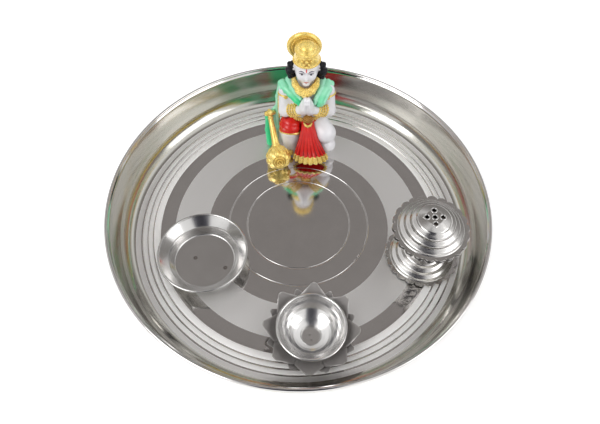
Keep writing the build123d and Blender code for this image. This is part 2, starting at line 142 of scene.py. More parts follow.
# %% [markdown]
# The plate stood in a plain white studio. A white floor and a white world do the same here: what the
# camera, a mirror or a glass sees of them is white, and the diffuse light they give is a little lower,
# so a colour renders about as it is written. The floor stays a real surface that catches the shadow.

# %% White studio
def directly_seen(tree):
    """1 for what the camera, a mirror or a glass sees, and 0 for plain light."""
    path = node(tree, "ShaderNodeLightPath")
    seen = maths(tree, "MAXIMUM", path.outputs["Is Camera Ray"], path.outputs["Is Glossy Ray"])
    return maths(tree, "MAXIMUM", seen, path.outputs["Is Transmission Ray"])


world = bpy.data.worlds.new("white_studio")
world.use_nodes = True
scene.world = world
sky = world.node_tree
ambient_level = 0.72
sky_level = node(sky, "ShaderNodeMapRange", {
    "Value": directly_seen(sky), "To Min": ambient_level, "To Max": 1.0})
sky_shader = sky.nodes["Background"]
sky_shader.inputs["Color"].default_value = (1, 1, 1, 1)
sky.links.new(sky_level.outputs[0], sky_shader.inputs["Strength"])

floor_half = 6.0
floor_signs = [(-1, -1), (1, -1), (1, 1), (-1, 1)]
floor_mesh = bpy.data.meshes.new("studio_floor")
floor_mesh.from_pydata([(x * floor_half, y * floor_half, 0) for x, y in floor_signs], [], [(0, 1, 2, 3)])
studio_floor = bpy.data.objects.new("studio_floor", floor_mesh)
scene.collection.objects.link(studio_floor)
floor_white, tree, shader, place = finish_material("floor_white")
grain = noise(tree, place, scale=3.0, detail=3.0)
paper = ramp(tree, grain, [(0.0, (0.86, 0.86, 0.86)), (1.0, (0.9, 0.9, 0.9))])
tree.links.new(paper.outputs[0], shader.inputs["Base Color"])
shader.inputs["Roughness"].default_value = 0.9
shader.inputs["Specular IOR Level"].default_value = 0.0
floor_lift = 0.34
shader.inputs["Emission Color"].default_value = (1, 1, 1, 1)
lift = maths(tree, "MULTIPLY", directly_seen(tree), floor_lift)
tree.links.new(lift.outputs[0], shader.inputs["Emission Strength"])
floor_mesh.materials.append(floor_white)
print("floor and world are white")

# %% [markdown]
# A mirror shows the room. In the photograph the flat of the plate is mid grey because it reflects the
# ceiling, the domes carry a dark upright streak because the photographer stood in front, and the coves
# are dark where they reflect the room behind. Three cards outside the picture stand for these. Only
# reflections see them, so they don't change the plain light.

# %% Ceiling card, front card, room card and the soft lamps
def studio_card(name, corners, faces, level_stops, centre, reach):
    """A card whose glow runs from the middle outwards through level_stops."""
    mesh = bpy.data.meshes.new(name)
    mesh.from_pydata(corners, [], faces)
    card = bpy.data.objects.new(name, mesh)
    scene.collection.objects.link(card)
    material, tree, shader, place = finish_material(name)
    tree.nodes.remove(shader)
    offset = vectors(tree, "SUBTRACT", place, centre)
    share = vectors(tree, "DIVIDE", offset, reach)
    spread = vectors(tree, "LENGTH", share).outputs["Value"]
    level = ramp(tree, spread, level_stops, "EASE")
    glow = node(tree, "ShaderNodeEmission", {"Color": level.outputs[0]})
    tree.links.new(glow.outputs[0], tree.nodes["Material Output"].inputs["Surface"])
    mesh.materials.append(material)
    card.visible_camera = False
    card.visible_diffuse = False
    card.visible_shadow = False


def strip_faces(rows):
    """Faces between the rows of a strip that has two points in each row."""
    return [(2 * i, 2 * i + 1, 2 * i + 3, 2 * i + 2) for i in range(rows - 1)]


white = (1.0, 1.0, 1.0)
card_origin = (0.0, 0.0, 0.0)
even_reach = 1e6  # so long that the glow stays even along this axis

ceiling_middle = (0.0, 1.0, 1.6)
ceiling_reach, ceiling_sides = 1.2, 48
ceiling_turns = [2 * pi * i / ceiling_sides for i in range(ceiling_sides)]
ceiling_rim = [(ceiling_reach * cos(a), ceiling_middle[1] + ceiling_reach * sin(a), ceiling_middle[2])
               for a in ceiling_turns]
studio_card(
    "ceiling_card", ceiling_rim, [tuple(range(ceiling_sides))],
    [(0.0, (0.27, 0.252, 0.243)), (0.66, (0.29, 0.272, 0.262)), (1.0, white)],
    ceiling_middle, (ceiling_reach, ceiling_reach, 1.0))

strip_half, strip_reach = 0.48, 1.3
strip_turns = np.radians(np.linspace(8, 98, 16))
brow_end, brow_share = radians(19), 0.3
strip_rim = []
for a in strip_turns:
    half = strip_half * (brow_share if a < brow_end else 1.0)
    strip_rim += [(way * half, -strip_reach * sin(a), strip_reach * cos(a)) for way in (-1, 1)]
studio_card(
    "front_card", strip_rim, strip_faces(len(strip_turns)),
    [(0.0, (0.03, 0.03, 0.04)), (0.6, (0.07, 0.07, 0.09)), (1.0, white)],
    card_origin, (strip_half, even_reach, even_reach))

room_reach, room_foot, room_height = 2.2, 0.02, 1.9
room_turns = np.radians(np.linspace(-30, 210, 25))
room_rim = [(room_reach * cos(a), room_reach * sin(a), z)
            for a in room_turns for z in (room_foot, room_height)]
studio_card(
    "room_card", room_rim, strip_faces(len(room_turns)),
    [(0.0, (0.22, 0.21, 0.20)), (0.45, (0.30, 0.29, 0.28)), (1.0, white)],
    card_origin, (even_reach, even_reach, room_height))


def soft_lamp(name, place, size, power):
    data = bpy.data.lights.new(name, "AREA")
    data.size = size
    data.energy = power
    lamp = bpy.data.objects.new(name, data)
    lamp.location = place
    lamp.rotation_mode = "QUATERNION"
    lamp.rotation_quaternion = (-Vector(place)).to_track_quat("-Z", "Y")
    scene.collection.objects.link(lamp)


soft_lamp("key_lamp", place=(-0.75, -0.55, 1.05), size=0.8, power=7.0)
soft_lamp("fill_lamp", place=(0.95, -0.35, 0.75), size=0.7, power=3.0)
print("cards and lamps placed")

# %% [markdown]
# Every finished piece goes through the same door: its mesh becomes an object at the origin, rides on
# the CAD body that carries it, takes its material and stands for the CAD nodes it replaces.

# %% Helpers for finished pieces
def settle(name, mesh, material, body, slot, *nodes, sharp=40):
    bm = bmesh.new()
    bm.from_mesh(mesh)
    bmesh.ops.recalc_face_normals(bm, faces=bm.faces)
    bm.to_mesh(mesh)
    bm.free()
    mesh.materials.clear()
    mesh.materials.append(material)
    mesh.polygons.foreach_set("use_smooth", [True] * len(mesh.polygons))
    mesh.set_sharp_from_angle(angle=radians(sharp))
    piece = bpy.data.objects.new(name, mesh)
    scene.collection.objects.link(piece)
    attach(piece, body)
    if nodes:
        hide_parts(*nodes)
    print(name, len(mesh.vertices), "vertices", len(mesh.polygons), "faces")


def note(mesh, name, values):
    """Keep one number for each point of a mesh, for a tree or a material to read."""
    mesh.attributes.new(name, "FLOAT", "POINT").data.foreach_set("value", values)


def grown(tree, seed, **inputs):
    """The plain mesh that a Geometry Nodes tree makes of a seed mesh with these named inputs."""
    carrier = bpy.data.objects.new("carrier", seed)
    scene.collection.objects.link(carrier)
    modifier = carrier.modifiers.new("grow", "NODES")
    modifier.node_group = tree
    for item in tree.interface.items_tree:
        if item.in_out == "INPUT" and item.name in inputs:
            modifier[item.identifier] = inputs[item.name]
    evaluated = carrier.evaluated_get(bpy.context.evaluated_depsgraph_get())
    mesh = bpy.data.meshes.new_from_object(evaluated)
    bpy.data.objects.remove(carrier)
    return mesh


def open_tree(name, **inputs):
    """A new Geometry Nodes tree with a geometry in and out and these named inputs."""
    tree = bpy.data.node_groups.new(name, "GeometryNodeTree")
    tree.interface.new_socket("Geometry", in_out="INPUT", socket_type="NodeSocketGeometry")
    for label, kind in inputs.items():
        tree.interface.new_socket(label, in_out="INPUT", socket_type="NodeSocket" + kind)
    tree.interface.new_socket("Geometry", in_out="OUTPUT", socket_type="NodeSocketGeometry")
    start = tree.nodes.new("NodeGroupInput")
    end = tree.nodes.new("NodeGroupOutput")
    return tree, start.outputs, end.inputs[0]


print("piece helpers ready")

# %% [markdown]
# Bowls, lamp and plate are spun: a steel disc is pressed on a turning former, so each is one section
# turned about an axis. Blender's Screw modifier could turn it, but Geometry Nodes keep the places along
# the section as a UV map, which the turning marks in the steel follow. The tree lays the section's
# points out as a grid, rolls the grid round the axis and merges the seam and the pole. A section point
# may carry a scallop weight, which pushes it in and out for a scalloped edge.

# %% Geometry Nodes tree for a spun section
spin_tree, given, spun = open_tree(
    "spun_section", Segments="Int", Centre="Vector", Scallops="Int", Depth="Float", Material="Material")
size = node(spin_tree, "GeometryNodeAttributeDomainSize", {0: given["Geometry"]})
rows = size.outputs["Point Count"]
columns = maths(spin_tree, "ADD", given["Segments"], 1.0)
grid = node(spin_tree, "GeometryNodeMeshGrid", {"Vertices X": columns, "Vertices Y": rows})
index = node(spin_tree, "GeometryNodeInputIndex")
along = maths(spin_tree, "FLOORED_MODULO", index, rows)
around = maths(spin_tree, "FLOOR", maths(spin_tree, "DIVIDE", index, rows))
turn = maths(spin_tree, "MULTIPLY", maths(spin_tree, "DIVIDE", around, given["Segments"]), 2 * pi)
position = node(spin_tree, "GeometryNodeInputPosition")
point = node(spin_tree, "GeometryNodeSampleIndex", {
    "Geometry": given["Geometry"], "Value": position, "Index": along}, data_type="FLOAT_VECTOR")
weight = node(spin_tree, "GeometryNodeInputNamedAttribute", {"Name": "scallop"}, data_type="FLOAT")
scallop = node(spin_tree, "GeometryNodeSampleIndex", {
    "Geometry": given["Geometry"], "Value": weight, "Index": along}, data_type="FLOAT")
scallop_power = 0.55
half_turn = maths(spin_tree, "MULTIPLY", maths(spin_tree, "MULTIPLY", turn, given["Scallops"]), 0.5)
wave = maths(spin_tree, "ABSOLUTE", maths(spin_tree, "COSINE", half_turn))
bump = maths(spin_tree, "POWER", wave, scallop_power)
reach = maths(spin_tree, "MULTIPLY", maths(spin_tree, "MULTIPLY", bump, given["Depth"]), scallop)
parts = node(spin_tree, "ShaderNodeSeparateXYZ", {0: point})
radius = maths(spin_tree, "ADD", parts.outputs["X"], reach)
place = node(spin_tree, "ShaderNodeCombineXYZ", {
    "X": maths(spin_tree, "MULTIPLY", radius, maths(spin_tree, "COSINE", turn)),
    "Y": maths(spin_tree, "MULTIPLY", radius, maths(spin_tree, "SINE", turn)),
    "Z": parts.outputs["Z"]})
rolled = node(spin_tree, "GeometryNodeStoreNamedAttribute", {
    "Geometry": grid.outputs["Mesh"], "Name": "UVMap", "Value": grid.outputs["UV Map"]},
    data_type="FLOAT2", domain="CORNER")
rolled = node(spin_tree, "GeometryNodeSetPosition", {
    "Geometry": rolled, "Position": vectors(spin_tree, "ADD", place, given["Centre"])})
seam_gap = 2e-6
rolled = node(spin_tree, "GeometryNodeMergeByDistance", {"Geometry": rolled, "Distance": seam_gap})
rolled = node(spin_tree, "GeometryNodeRealizeInstances", {"Geometry": rolled})
rolled = node(spin_tree, "GeometryNodeSetMaterial", {"Geometry": rolled, "Material": given["Material"]})
spin_tree.links.new(rolled.outputs[0], spun)


def spun_mesh(section, centre, material, segments, scallops=0, depth=0.0, weights=None):
    """Spin a section of (radius, height) points in millimetres about the upright axis at centre."""
    seed = bpy.data.meshes.new("section")
    seed.from_pydata([(r * mm, 0, z * mm) for r, z in section], [], [])
    note(seed, "scallop", weights or [0.0] * len(section))
    return grown(
        spin_tree, seed, Segments=segments, Centre=Vector(centre) * mm, Scallops=scallops,
        Depth=depth * mm, Material=material)


print("spin tree has", len(spin_tree.nodes), "nodes")

# %% [markdown]
# A spun sheet keeps one thickness all the way, so its section is a bent centre line with a skin on each
# side and a rolled bead on its edge. The corners are rounded as a sheet bends, never sharp.

# %% Sections of bent sheet
def bent_line(points, bends, turn_step=radians(7)):
    """A line through points with its inner corners rounded to the radii in bends."""
    line = [Vector(points[0])]
    for before, corner, after, bend in zip(points, points[1:], points[2:], bends):
        before, corner, after = Vector(before), Vector(corner), Vector(after)
        inward = (before - corner).normalized()
        outward = (after - corner).normalized()
        angle = pi - acos(max(-1.0, min(1.0, inward.dot(outward))))
        cut = bend * tan(angle / 2)
        middle = corner + (inward + outward).normalized() * (bend / cos(angle / 2))
        start = corner + inward * cut - middle
        side = 1 if start.cross(corner + outward * cut - middle) > 0 else -1
        count = max(2, ceil(angle / turn_step))
        for i in range(count + 1):
            spin = side * angle * i / count
            line.append(middle + Vector((
                start.x * cos(spin) - start.y * sin(spin), start.x * sin(spin) + start.y * cos(spin))))
    line.append(Vector(points[-1]))
    return line


def skins(line, thickness):
    """The two sides of a sheet whose middle runs along line."""
    above, below = [], []
    for i, point in enumerate(line):
        ahead = line[min(i + 1, len(line) - 1)] - line[max(i - 1, 0)]
        normal = Vector((-ahead.y, ahead.x)).normalized() * (thickness / 2)
        above.append(point + normal)
        below.append(point - normal)
    return above, below


def dense(side, longest):
    """The same line with its long runs divided."""
    out = [side[0]]
    for a, b in zip(side, side[1:]):
        count = max(1, ceil((b - a).length / longest))
        out += [a + (b - a) * ((i + 1) / count) for i in range(count)]
    return out


bead_points = 19
bead_turn_share = 0.98


def rolled_sheet(points, bends, thickness, bead, longest):
    """The closed section of a sheet from the axis out to a rolled bead and back."""
    above, below = skins(bent_line(points, bends), thickness)
    hub = Vector(points[-1])
    above = [p for p in above if (p - hub).length > bead]
    below = [p for p in below if (p - hub).length > bead]
    heading = atan2(hub.y - points[-2][1], hub.x - points[-2][0])
    gap = bead_turn_share * acos(-sqrt(1 - (thickness / 2 / bead) ** 2))
    turns = np.linspace(heading + gap, heading - gap, bead_points)
    ring = [hub + Vector((cos(a), sin(a))) * bead for a in turns]
    above = dense(above, longest)
    below = dense(below, longest)
    return [(max(p.x, 0.0), p.y) for p in above + ring + below[::-1]]


def smooth_share(value, low, high):
    """0 below low, 1 above high and a smooth step between."""
    share = min(1.0, max(0.0, (value - low) / (high - low)))
    return share * share * (3 - 2 * share)


print("bent sheet ready")

# %% [markdown]
# Stainless steel here has two finishes. Most of it is buffed almost to a mirror. One broad ring of the
# plate, its beads and the foot of its cove are satin, scoured round and round, so reflections blur there.
# Their lighter tone is a painted sheen, and the darker tone of the wall is a painted dark reflection of
# the room. All are the same metal with another roughness and tone, chosen by the distance from the
# centre. Fine turning marks run round the axis, so they follow the UV map, and smudges from fingers come
# from a soft noise.

# %% Steel finishes
# Brown of the heat marks, also used as painted shade inside the incense cup.
stain_and_shade_brown = (0.17, 0.13, 0.11)
least_roughness = 0.03


def steel_finish(name, base, roughness, marks, smudge, rings=(), reach=1.0, flex=0.25):
    """Buffed steel. Rings of (inner radius, outer radius, roughness, tone) round the axis are scoured."""
    material, tree, shader, place = finish_material(name)
    uv = node(tree, "ShaderNodeUVMap", uv_map="UVMap")
    stretched = node(tree, "ShaderNodeMapping", {"Vector": uv, "Scale": (3.0, 420.0, 1.0)})
    turned = noise(tree, stretched, scale=1.0, detail=4.0)
    cloud = noise(tree, place, scale=55.0, detail=5.0, roughness=0.6)
    speck = noise(tree, place, scale=900.0, detail=2.0)
    level = maths(tree, "MULTIPLY_ADD", cloud, smudge, roughness - smudge * 0.45)
    level = maths(tree, "MULTIPLY_ADD", turned, marks * 0.12, level)
    darker = tuple(v * 0.96 for v in base)
    lighter = tuple(min(1.0, v * 1.03) for v in base)
    tone = ramp(tree, cloud, [(0.3, darker), (0.7, lighter)]).outputs[0]
    if rings:
        flat = vectors(tree, "MULTIPLY", place, (1.0, 1.0, 0.0))
        share = maths(tree, "DIVIDE", vectors(tree, "LENGTH", flat).outputs["Value"], reach * mm)
        rough_stops, tone_stops = [(0.0, 0.0)], [(0.0, (0.0, 0.0, 0.0))]
        # Each ring's tone is painted: lighter for sheen, darker for a dark reflection.
        for inner, outer, rough, painted_ring_tone in rings:
            rough_stops += [(inner / reach, rough), (outer / reach, 0.0)]
            tone_stops += [(inner / reach, painted_ring_tone), (outer / reach, (0.0, 0.0, 0.0))]
        satin = ramp(tree, share, rough_stops, "CONSTANT").outputs[0]
        level = maths(tree, "ADD", level, satin)
        painted_ring_tone = ramp(tree, share, tone_stops, "CONSTANT").outputs[0]
        tone = mixed(tree, maths(tree, "GREATER_THAN", satin, 0.01), tone, painted_ring_tone)
    level = maths(tree, "MAXIMUM", level, least_roughness)
    tree.links.new(level.outputs[0], shader.inputs["Roughness"])
    shader.inputs["Metallic"].default_value = 1.0
    tint = node(tree, "ShaderNodeAttribute", attribute_name="tint").outputs["Fac"]
    tone = mixed(tree, tint, tone, stain_and_shade_brown)
    tree.links.new(tone, shader.inputs["Base Color"])
    height = maths(tree, "MULTIPLY_ADD", speck, 0.3, turned)
    if rings:
        height = maths(tree, "MULTIPLY", height, maths(tree, "LESS_THAN", satin, 0.5))
    relief = node(tree, "ShaderNodeBump", {"Strength": marks, "Distance": 0.00004, "Height": height})
    wavy = noise(tree, place, scale=26.0, detail=1.0)
    relief = node(tree, "ShaderNodeBump", {
        "Strength": flex, "Distance": 0.0004, "Height": wavy, "Normal": relief})
    tree.links.new(relief.outputs[0], shader.inputs["Normal"])
    return material


plate_radius = 130.0
bead_edges = [(98.4, 103.0), (103.9, 107.0), (107.8, 111.2)]
satin_sheen_white = (0.97, 0.96, 0.95)
cove_satin_end = 115.6
# The satin rings' lighter tones are painted sheen; the last ring's darker tone is a painted dark reflection
# on the wall.
scoured_rings = [
    (64.4, 88.2, 0.36, (0.86, 0.85, 0.84)),
    (*bead_edges[0], 0.60, (1.0, 0.99, 0.98)),
    (*bead_edges[1], 0.55, satin_sheen_white),
    (*bead_edges[2], 0.55, satin_sheen_white),
    (112.0, cove_satin_end, 0.36, satin_sheen_white),
    (cove_satin_end, 126.8, 0.07, (0.55, 0.54, 0.50))]
plate_steel = steel_finish(
    "plate_steel", (0.70, 0.685, 0.675), roughness=0.075, marks=0.10, smudge=0.05,
    rings=scoured_rings, reach=plate_radius, flex=0.10)
bowl_steel = steel_finish("bowl_steel", (0.67, 0.66, 0.65), roughness=0.17, marks=0.12, smudge=0.08)
lamp_steel = steel_finish("lamp_steel", (0.76, 0.75, 0.74), roughness=0.18, marks=0.10, smudge=0.06)
stand_steel = steel_finish("stand_steel", (0.62, 0.605, 0.59), roughness=0.19, marks=0.14, smudge=0.08)
print("steel finishes:", plate_steel.name, bowl_steel.name, lamp_steel.name, stand_steel.name)

# %% [markdown]
# The plate is one spinning with a coved wall, a flared lip and a rolled rim. Three low beads stand up
# round its floor and two fine rings are scribed in the middle. They are so shallow that only their
# reflections show, so the section's floor gets enough points to shape each of them.

# %% Thali plate
plate_sheet = 0.8
floor_level = plate_sheet
bead_rise, scribed_depth = 0.3, 0.22
scribed_edges = [(36.2, 37.4), (49.4, 50.6)]
floor_reliefs = [(*edges, bead_rise) for edges in bead_edges]
floor_reliefs += [(*edges, -scribed_depth) for edges in scribed_edges]


def plate_relief(radius):
    """How far the plate's floor rises or sinks at a radius."""
    for inner, outer, rise in floor_reliefs:
        if inner < radius < outer:
            share = 2 * (radius - inner) / (outer - inner) - 1
            return rise * (1 - share**4)
    return 0.0


cove_corner, lip_corner, rim_centre = (123.4, plate_sheet / 2), (127.1, 28.9), (128.9, 30.6)
cove_bend, lip_bend, rim_bead = 13.4, 1.5, 1.1
wall_step, floor_step, relief_points = 2.0, 4.0, 11
plate_segments = 320
sheet_section = rolled_sheet(
    [(0, plate_sheet / 2), cove_corner, lip_corner, rim_centre], [cove_bend, lip_bend],
    plate_sheet, rim_bead, wall_step)
flat_end, join_gap = 111.5, 0.2
floor_stops = {0.0, flat_end} | set(np.arange(floor_step, flat_end, floor_step))
for inner, outer, _ in floor_reliefs:
    floor_stops |= set(np.linspace(inner, outer, relief_points))
floor_line = [(r, floor_level + plate_relief(r)) for r in sorted(floor_stops)]
underside = len(sheet_section) // 2
wall_line = [p for i, p in enumerate(sheet_section) if p[0] > flat_end + join_gap or i > underside]
inset_share = 0.9999
plate_section = [(r * inset_share, z) for r, z in floor_line + wall_line]
plate_mesh = spun_mesh(plate_section, (0, 0, 0), plate_steel, plate_segments)
settle("thali_plate_spun", plate_mesh, plate_steel, "thali", "plate_steel", "thali_plate", sharp=25)

# %% [markdown]
# The katori is a small spun bowl with a flat floor, a short steep wall and a flared band up to a rolled
# rim. Two small spot marks show in its floor, brown from heat. They are pressed into the mesh itself,
# because a mark in a mirror bends the reflection, and an attribute tells the steel where the brown goes.

# %% Katori
def press_marks(mesh, places, radius, depth, centre, top):
    """Press small round marks into the floor of a mesh and note where they are brown."""
    tints = [0.0] * len(mesh.vertices)
    for vertex in mesh.vertices:
        x, y, z = (v / mm for v in vertex.co)
        for mark_x, mark_y in places:
            away = hypot(x - centre[0] - mark_x, y - centre[1] - mark_y) / radius
            if away < 1 and z < top:
                vertex.co.z -= depth * max(0.0, 1 - away * away) * mm
                tints[vertex.index] = 0.85 - 0.5 * smooth_share(abs(away - 0.6), 0.0, 0.4)
    note(mesh, "tint", tints)


bowl_centre = (-64.2, -32.0, floor_level)
bowl_sheet, bowl_bead, bowl_step = 0.7, 0.8, 0.55
bowl_line = [(0, bowl_sheet / 2), (20.9, bowl_sheet / 2), (23.9, 6.7), (29.7, 12.7)]
bowl_bends = [1.5, 4.0]
bowl_segments = 224
bowl_marks = [(-6.6, 1.6), (14.6, -5.6)]
bowl_mark_radius, bowl_mark_depth, bowl_mark_top = 1.5, 0.14, floor_level + 1.2
bowl_section = rolled_sheet(bowl_line, bowl_bends, bowl_sheet, bowl_bead, bowl_step)
bowl_mesh = spun_mesh(bowl_section, bowl_centre, bowl_steel, bowl_segments)
press_marks(bowl_mesh, bowl_marks, bowl_mark_radius, bowl_mark_depth, bowl_centre, bowl_mark_top)
settle("katori_spun", bowl_mesh, bowl_steel, "bowl", "bowl_steel", "katori")

# %% [markdown]
# The diya, the oil lamp, is a deep polished bowl with a little well for the wick, set on two stamped
# lotus sheets. One petal is drawn as a curved sheet with rounded edges, and Geometry Nodes stand it
# round the centre. Each petal keeps an attribute that is 1 along its edge, where the stamp leaves a thin
# polished line in the satin steel: the steel is smoother there, and its lighter tone is a painted highlight.

# %% Diya bowl
diya_place = (9.5, -86.0)
lotus_sheet = 0.6
diya_centre = (*diya_place, floor_level + 2 * lotus_sheet)
diya_sheet, diya_bead, diya_step = 0.7, 0.95, 0.45
diya_line = [(0, diya_sheet / 2), (6.05, diya_sheet / 2), (6.6, 1.45), (18.0, 5.4), (21.45, 16.45)]
diya_bends = [0.5, 0.5, 18.0]
diya_segments = 224
well_marks = [(-0.8, 0.8), (0.3, -2.4)]
well_mark_radius, well_mark_depth, well_mark_top = 0.7, 0.16, diya_centre[2] + 1.0
diya_section = rolled_sheet(diya_line, diya_bends, diya_sheet, diya_bead, diya_step)
diya_mesh = spun_mesh(diya_section, diya_centre, lamp_steel, diya_segments)
press_marks(diya_mesh, well_marks, well_mark_radius, well_mark_depth, diya_centre, well_mark_top)
settle("diya_bowl_spun", diya_mesh, lamp_steel, "diya", "lamp_steel", "diya_bowl")

ring_turns = np.linspace(0, 2 * pi, 13)
well_radius, well_height, well_girth, well_segments = 6.75, 1.78, 0.3, 96
well_edge = [(well_radius + well_girth * cos(a), well_height + well_girth * sin(a)) for a in ring_turns]
well_mesh = spun_mesh(well_edge, diya_centre, lamp_steel, well_segments)
settle("diya_well_edge", well_mesh, lamp_steel, "diya", "lamp_steel")

# %% Geometry Nodes tree for petals round a centre
petal_tree, given, ringed = open_tree(
    "petals_around", Petals="Int", Turn="Float", Centre="Vector", Material="Material")
spots = node(petal_tree, "GeometryNodePoints", {"Count": given["Petals"]})
index = node(petal_tree, "GeometryNodeInputIndex")
pitch = maths(petal_tree, "DIVIDE", 2 * pi, given["Petals"])
turn = maths(petal_tree, "MULTIPLY_ADD", index, pitch, given["Turn"])
facing = node(petal_tree, "FunctionNodeAxisAngleToRotation", {"Axis": (0, 0, 1), "Angle": turn})
petals = node(petal_tree, "GeometryNodeInstanceOnPoints", {
    "Points": spots, "Instance": given["Geometry"], "Rotation": facing})
petals = node(petal_tree, "GeometryNodeRealizeInstances", {"Geometry": petals})
petals = node(petal_tree, "GeometryNodeSetPosition", {"Geometry": petals, "Offset": given["Centre"]})
petals = node(petal_tree, "GeometryNodeSetMaterial", {"Geometry": petals, "Material": given["Material"]})
petal_tree.links.new(petals.outputs[0], ringed)
print("petal tree has", len(petal_tree.nodes), "nodes")

# %% Petal steel
petal_steel, tree, shader, place = finish_material("petal_steel")
edge = node(tree, "ShaderNodeAttribute", attribute_name="edge").outputs["Fac"]
cloud = noise(tree, place, scale=140.0, detail=6.0)
grain = noise(tree, place, scale=2600.0, detail=2.0)
tone = ramp(tree, cloud, [(0.3, (0.43, 0.41, 0.40)), (0.7, (0.49, 0.47, 0.46))]).outputs[0]
# Along the edge the tone is lighter, a painted highlight, and the roughness lower for the polish.
tree.links.new(mixed(tree, edge, tone, (0.66, 0.64, 0.63)), shader.inputs["Base Color"])
dull = maths(tree, "MULTIPLY_ADD", cloud, 0.12, 0.76)
dull = maths(tree, "MULTIPLY_ADD", edge, -0.35, dull)
tree.links.new(dull.outputs[0], shader.inputs["Roughness"])
shader.inputs["Metallic"].default_value = 1.0
relief = node(tree, "ShaderNodeBump", {"Strength": 0.25, "Distance": 0.00005, "Height": grain})
tree.links.new(relief.outputs[0], shader.inputs["Normal"])
print("petal steel ready")

# %% Two lotus sheets
petal_count = 8
lotus_flat_radius, lotus_disc_radius, lotus_bends = 10.0, 17.0, [3.0, 12.0]
lotus_step, lotus_segments = 0.8, 160
petal_root, petal_tip_run, petal_gap = 15.2, 2.0, 0.02
petal_rows, petal_tip_rows, petal_columns = 14, 9, 11
petal_flat_share, petal_sheet_share, petal_edge_share = 0.94, 0.92, 0.9
petal_tip_edge = 0.5
petal_merge = 4e-6


def petal_half_width(x, reach, tip_radius, flare):
    """Half the width of a petal at a distance x from the lotus centre: straight sides and a round tip."""
    touch = reach - tip_radius * (1 - sin(flare))
    if x < touch:
        return (touch - x) * tan(flare) + tip_radius * cos(flare)
    return sqrt(max(0.0, tip_radius**2 - (x - reach + tip_radius) ** 2))


def lotus_petal(line, reach, tip_radius, flare):
    """One petal as a curved sheet along +X, with a rounded edge."""
    radii = [p.x for p in line]
    heights = [p.y for p in line]
    across = np.linspace(-petal_flat_share, petal_flat_share, petal_columns)
    loop = [(u, 0.5) for u in across] + [(1.0, 0.0)] + [(u, -0.5) for u in across[::-1]] + [(-1.0, 0.0)]
    points, edges, faces = [], [], []
    rows = list(np.linspace(petal_root, reach - petal_tip_run, petal_rows))
    rows += [reach - petal_tip_run * (1 - s) ** 2 for s in np.linspace(0.15, 1, petal_tip_rows)]
    for x in rows:
        half = min(petal_half_width(x, reach, tip_radius, flare), x * tan(pi / petal_count) - petal_gap)
        for u, side in loop:
            y = half * u
            far = hypot(x, y)
            z = np.interp(far, radii, heights)
            slope = (np.interp(far + 0.1, radii, heights) - np.interp(far - 0.1, radii, heights)) / 0.2
            lean = side * petal_sheet_share * lotus_sheet / sqrt(1 + slope * slope)
            inward = 1 - lean * slope / far
            points.append((x * inward * mm, y * inward * mm, (z + lean) * mm))
            tip = 1 - (reach - x) / petal_tip_edge
            rim = (abs(u) - petal_edge_share) / (1 - petal_edge_share)
            edges.append(min(1.0, max(0.0, tip, rim)))
    count = len(loop)
    for i in range(len(rows) - 1):
        for j in range(count):
            a, b = i * count + j, i * count + (j + 1) % count
            faces.append((a, b, b + count, a + count))
    faces.append(tuple(range(count))[::-1])
    mesh = bpy.data.meshes.new("petal")
    mesh.from_pydata(points, [], faces)
    note(mesh, "edge", edges)
    bm = bmesh.new()
    bm.from_mesh(mesh)
    bmesh.ops.remove_doubles(bm, verts=bm.verts, dist=petal_merge)
    bm.to_mesh(mesh)
    bm.free()
    return mesh


def joined(meshes):
    """One mesh of several."""
    whole = bmesh.new()
    for mesh in meshes:
        whole.from_mesh(mesh)
    mesh = bpy.data.meshes.new("joined")
    whole.to_mesh(mesh)
    whole.free()
    return mesh


def lotus(name, cad_node, level, turn, knee, tip, tip_radius, flare):
    """One stamped sheet: a disc, and petals that bend up at the knee. Turn and flare are in degrees."""
    points = [(0, lotus_sheet / 2), (lotus_flat_radius, lotus_sheet / 2), knee, tip]
    line = dense(bent_line(points, lotus_bends), lotus_step)
    centre = (*diya_place, level)
    petal = lotus_petal(line, tip[0], tip_radius, radians(flare))
    ring = grown(
        petal_tree, petal, Petals=petal_count, Turn=radians(turn), Centre=Vector(centre) * mm,
        Material=petal_steel)
    above, below = skins([p for p in line if p.x < lotus_disc_radius], lotus_sheet)
    hub = [(max(0.0, p.x), p.y) for p in above + below[::-1]]
    disc = spun_mesh(hub, centre, petal_steel, lotus_segments)
    settle(name, joined([ring, disc]), petal_steel, "diya", "petal_steel", cad_node)


lotus("lotus_sheet_upper", "lotus_upper", level=floor_level + lotus_sheet, turn=-3.0,
      knee=(24.0, 10.4), tip=(30.4, 16.7), tip_radius=3.6, flare=46)
lotus("lotus_sheet_lower", "lotus_lower", level=floor_level, turn=19.5,
      knee=(22.5, 7.4), tip=(28.8, 13.4), tip_radius=1.6, flare=44)

# %% [markdown]
# The incense stand is three pressings from one stepped die: a base, a cup turned upside down on a neck,
# and a cap that lifts off. Each has a rolled bead and a scalloped flange, which the spin tree makes from
# the scallop weights. The punch flattened a small diamond round the holes of the cap, and it left a
# raised bright lip on each hole. A Boolean cuts the holes, because they go right through. The inside of
# the cup is painted dark brown as painted shade of the closed hollow, so the holes look black from outside.

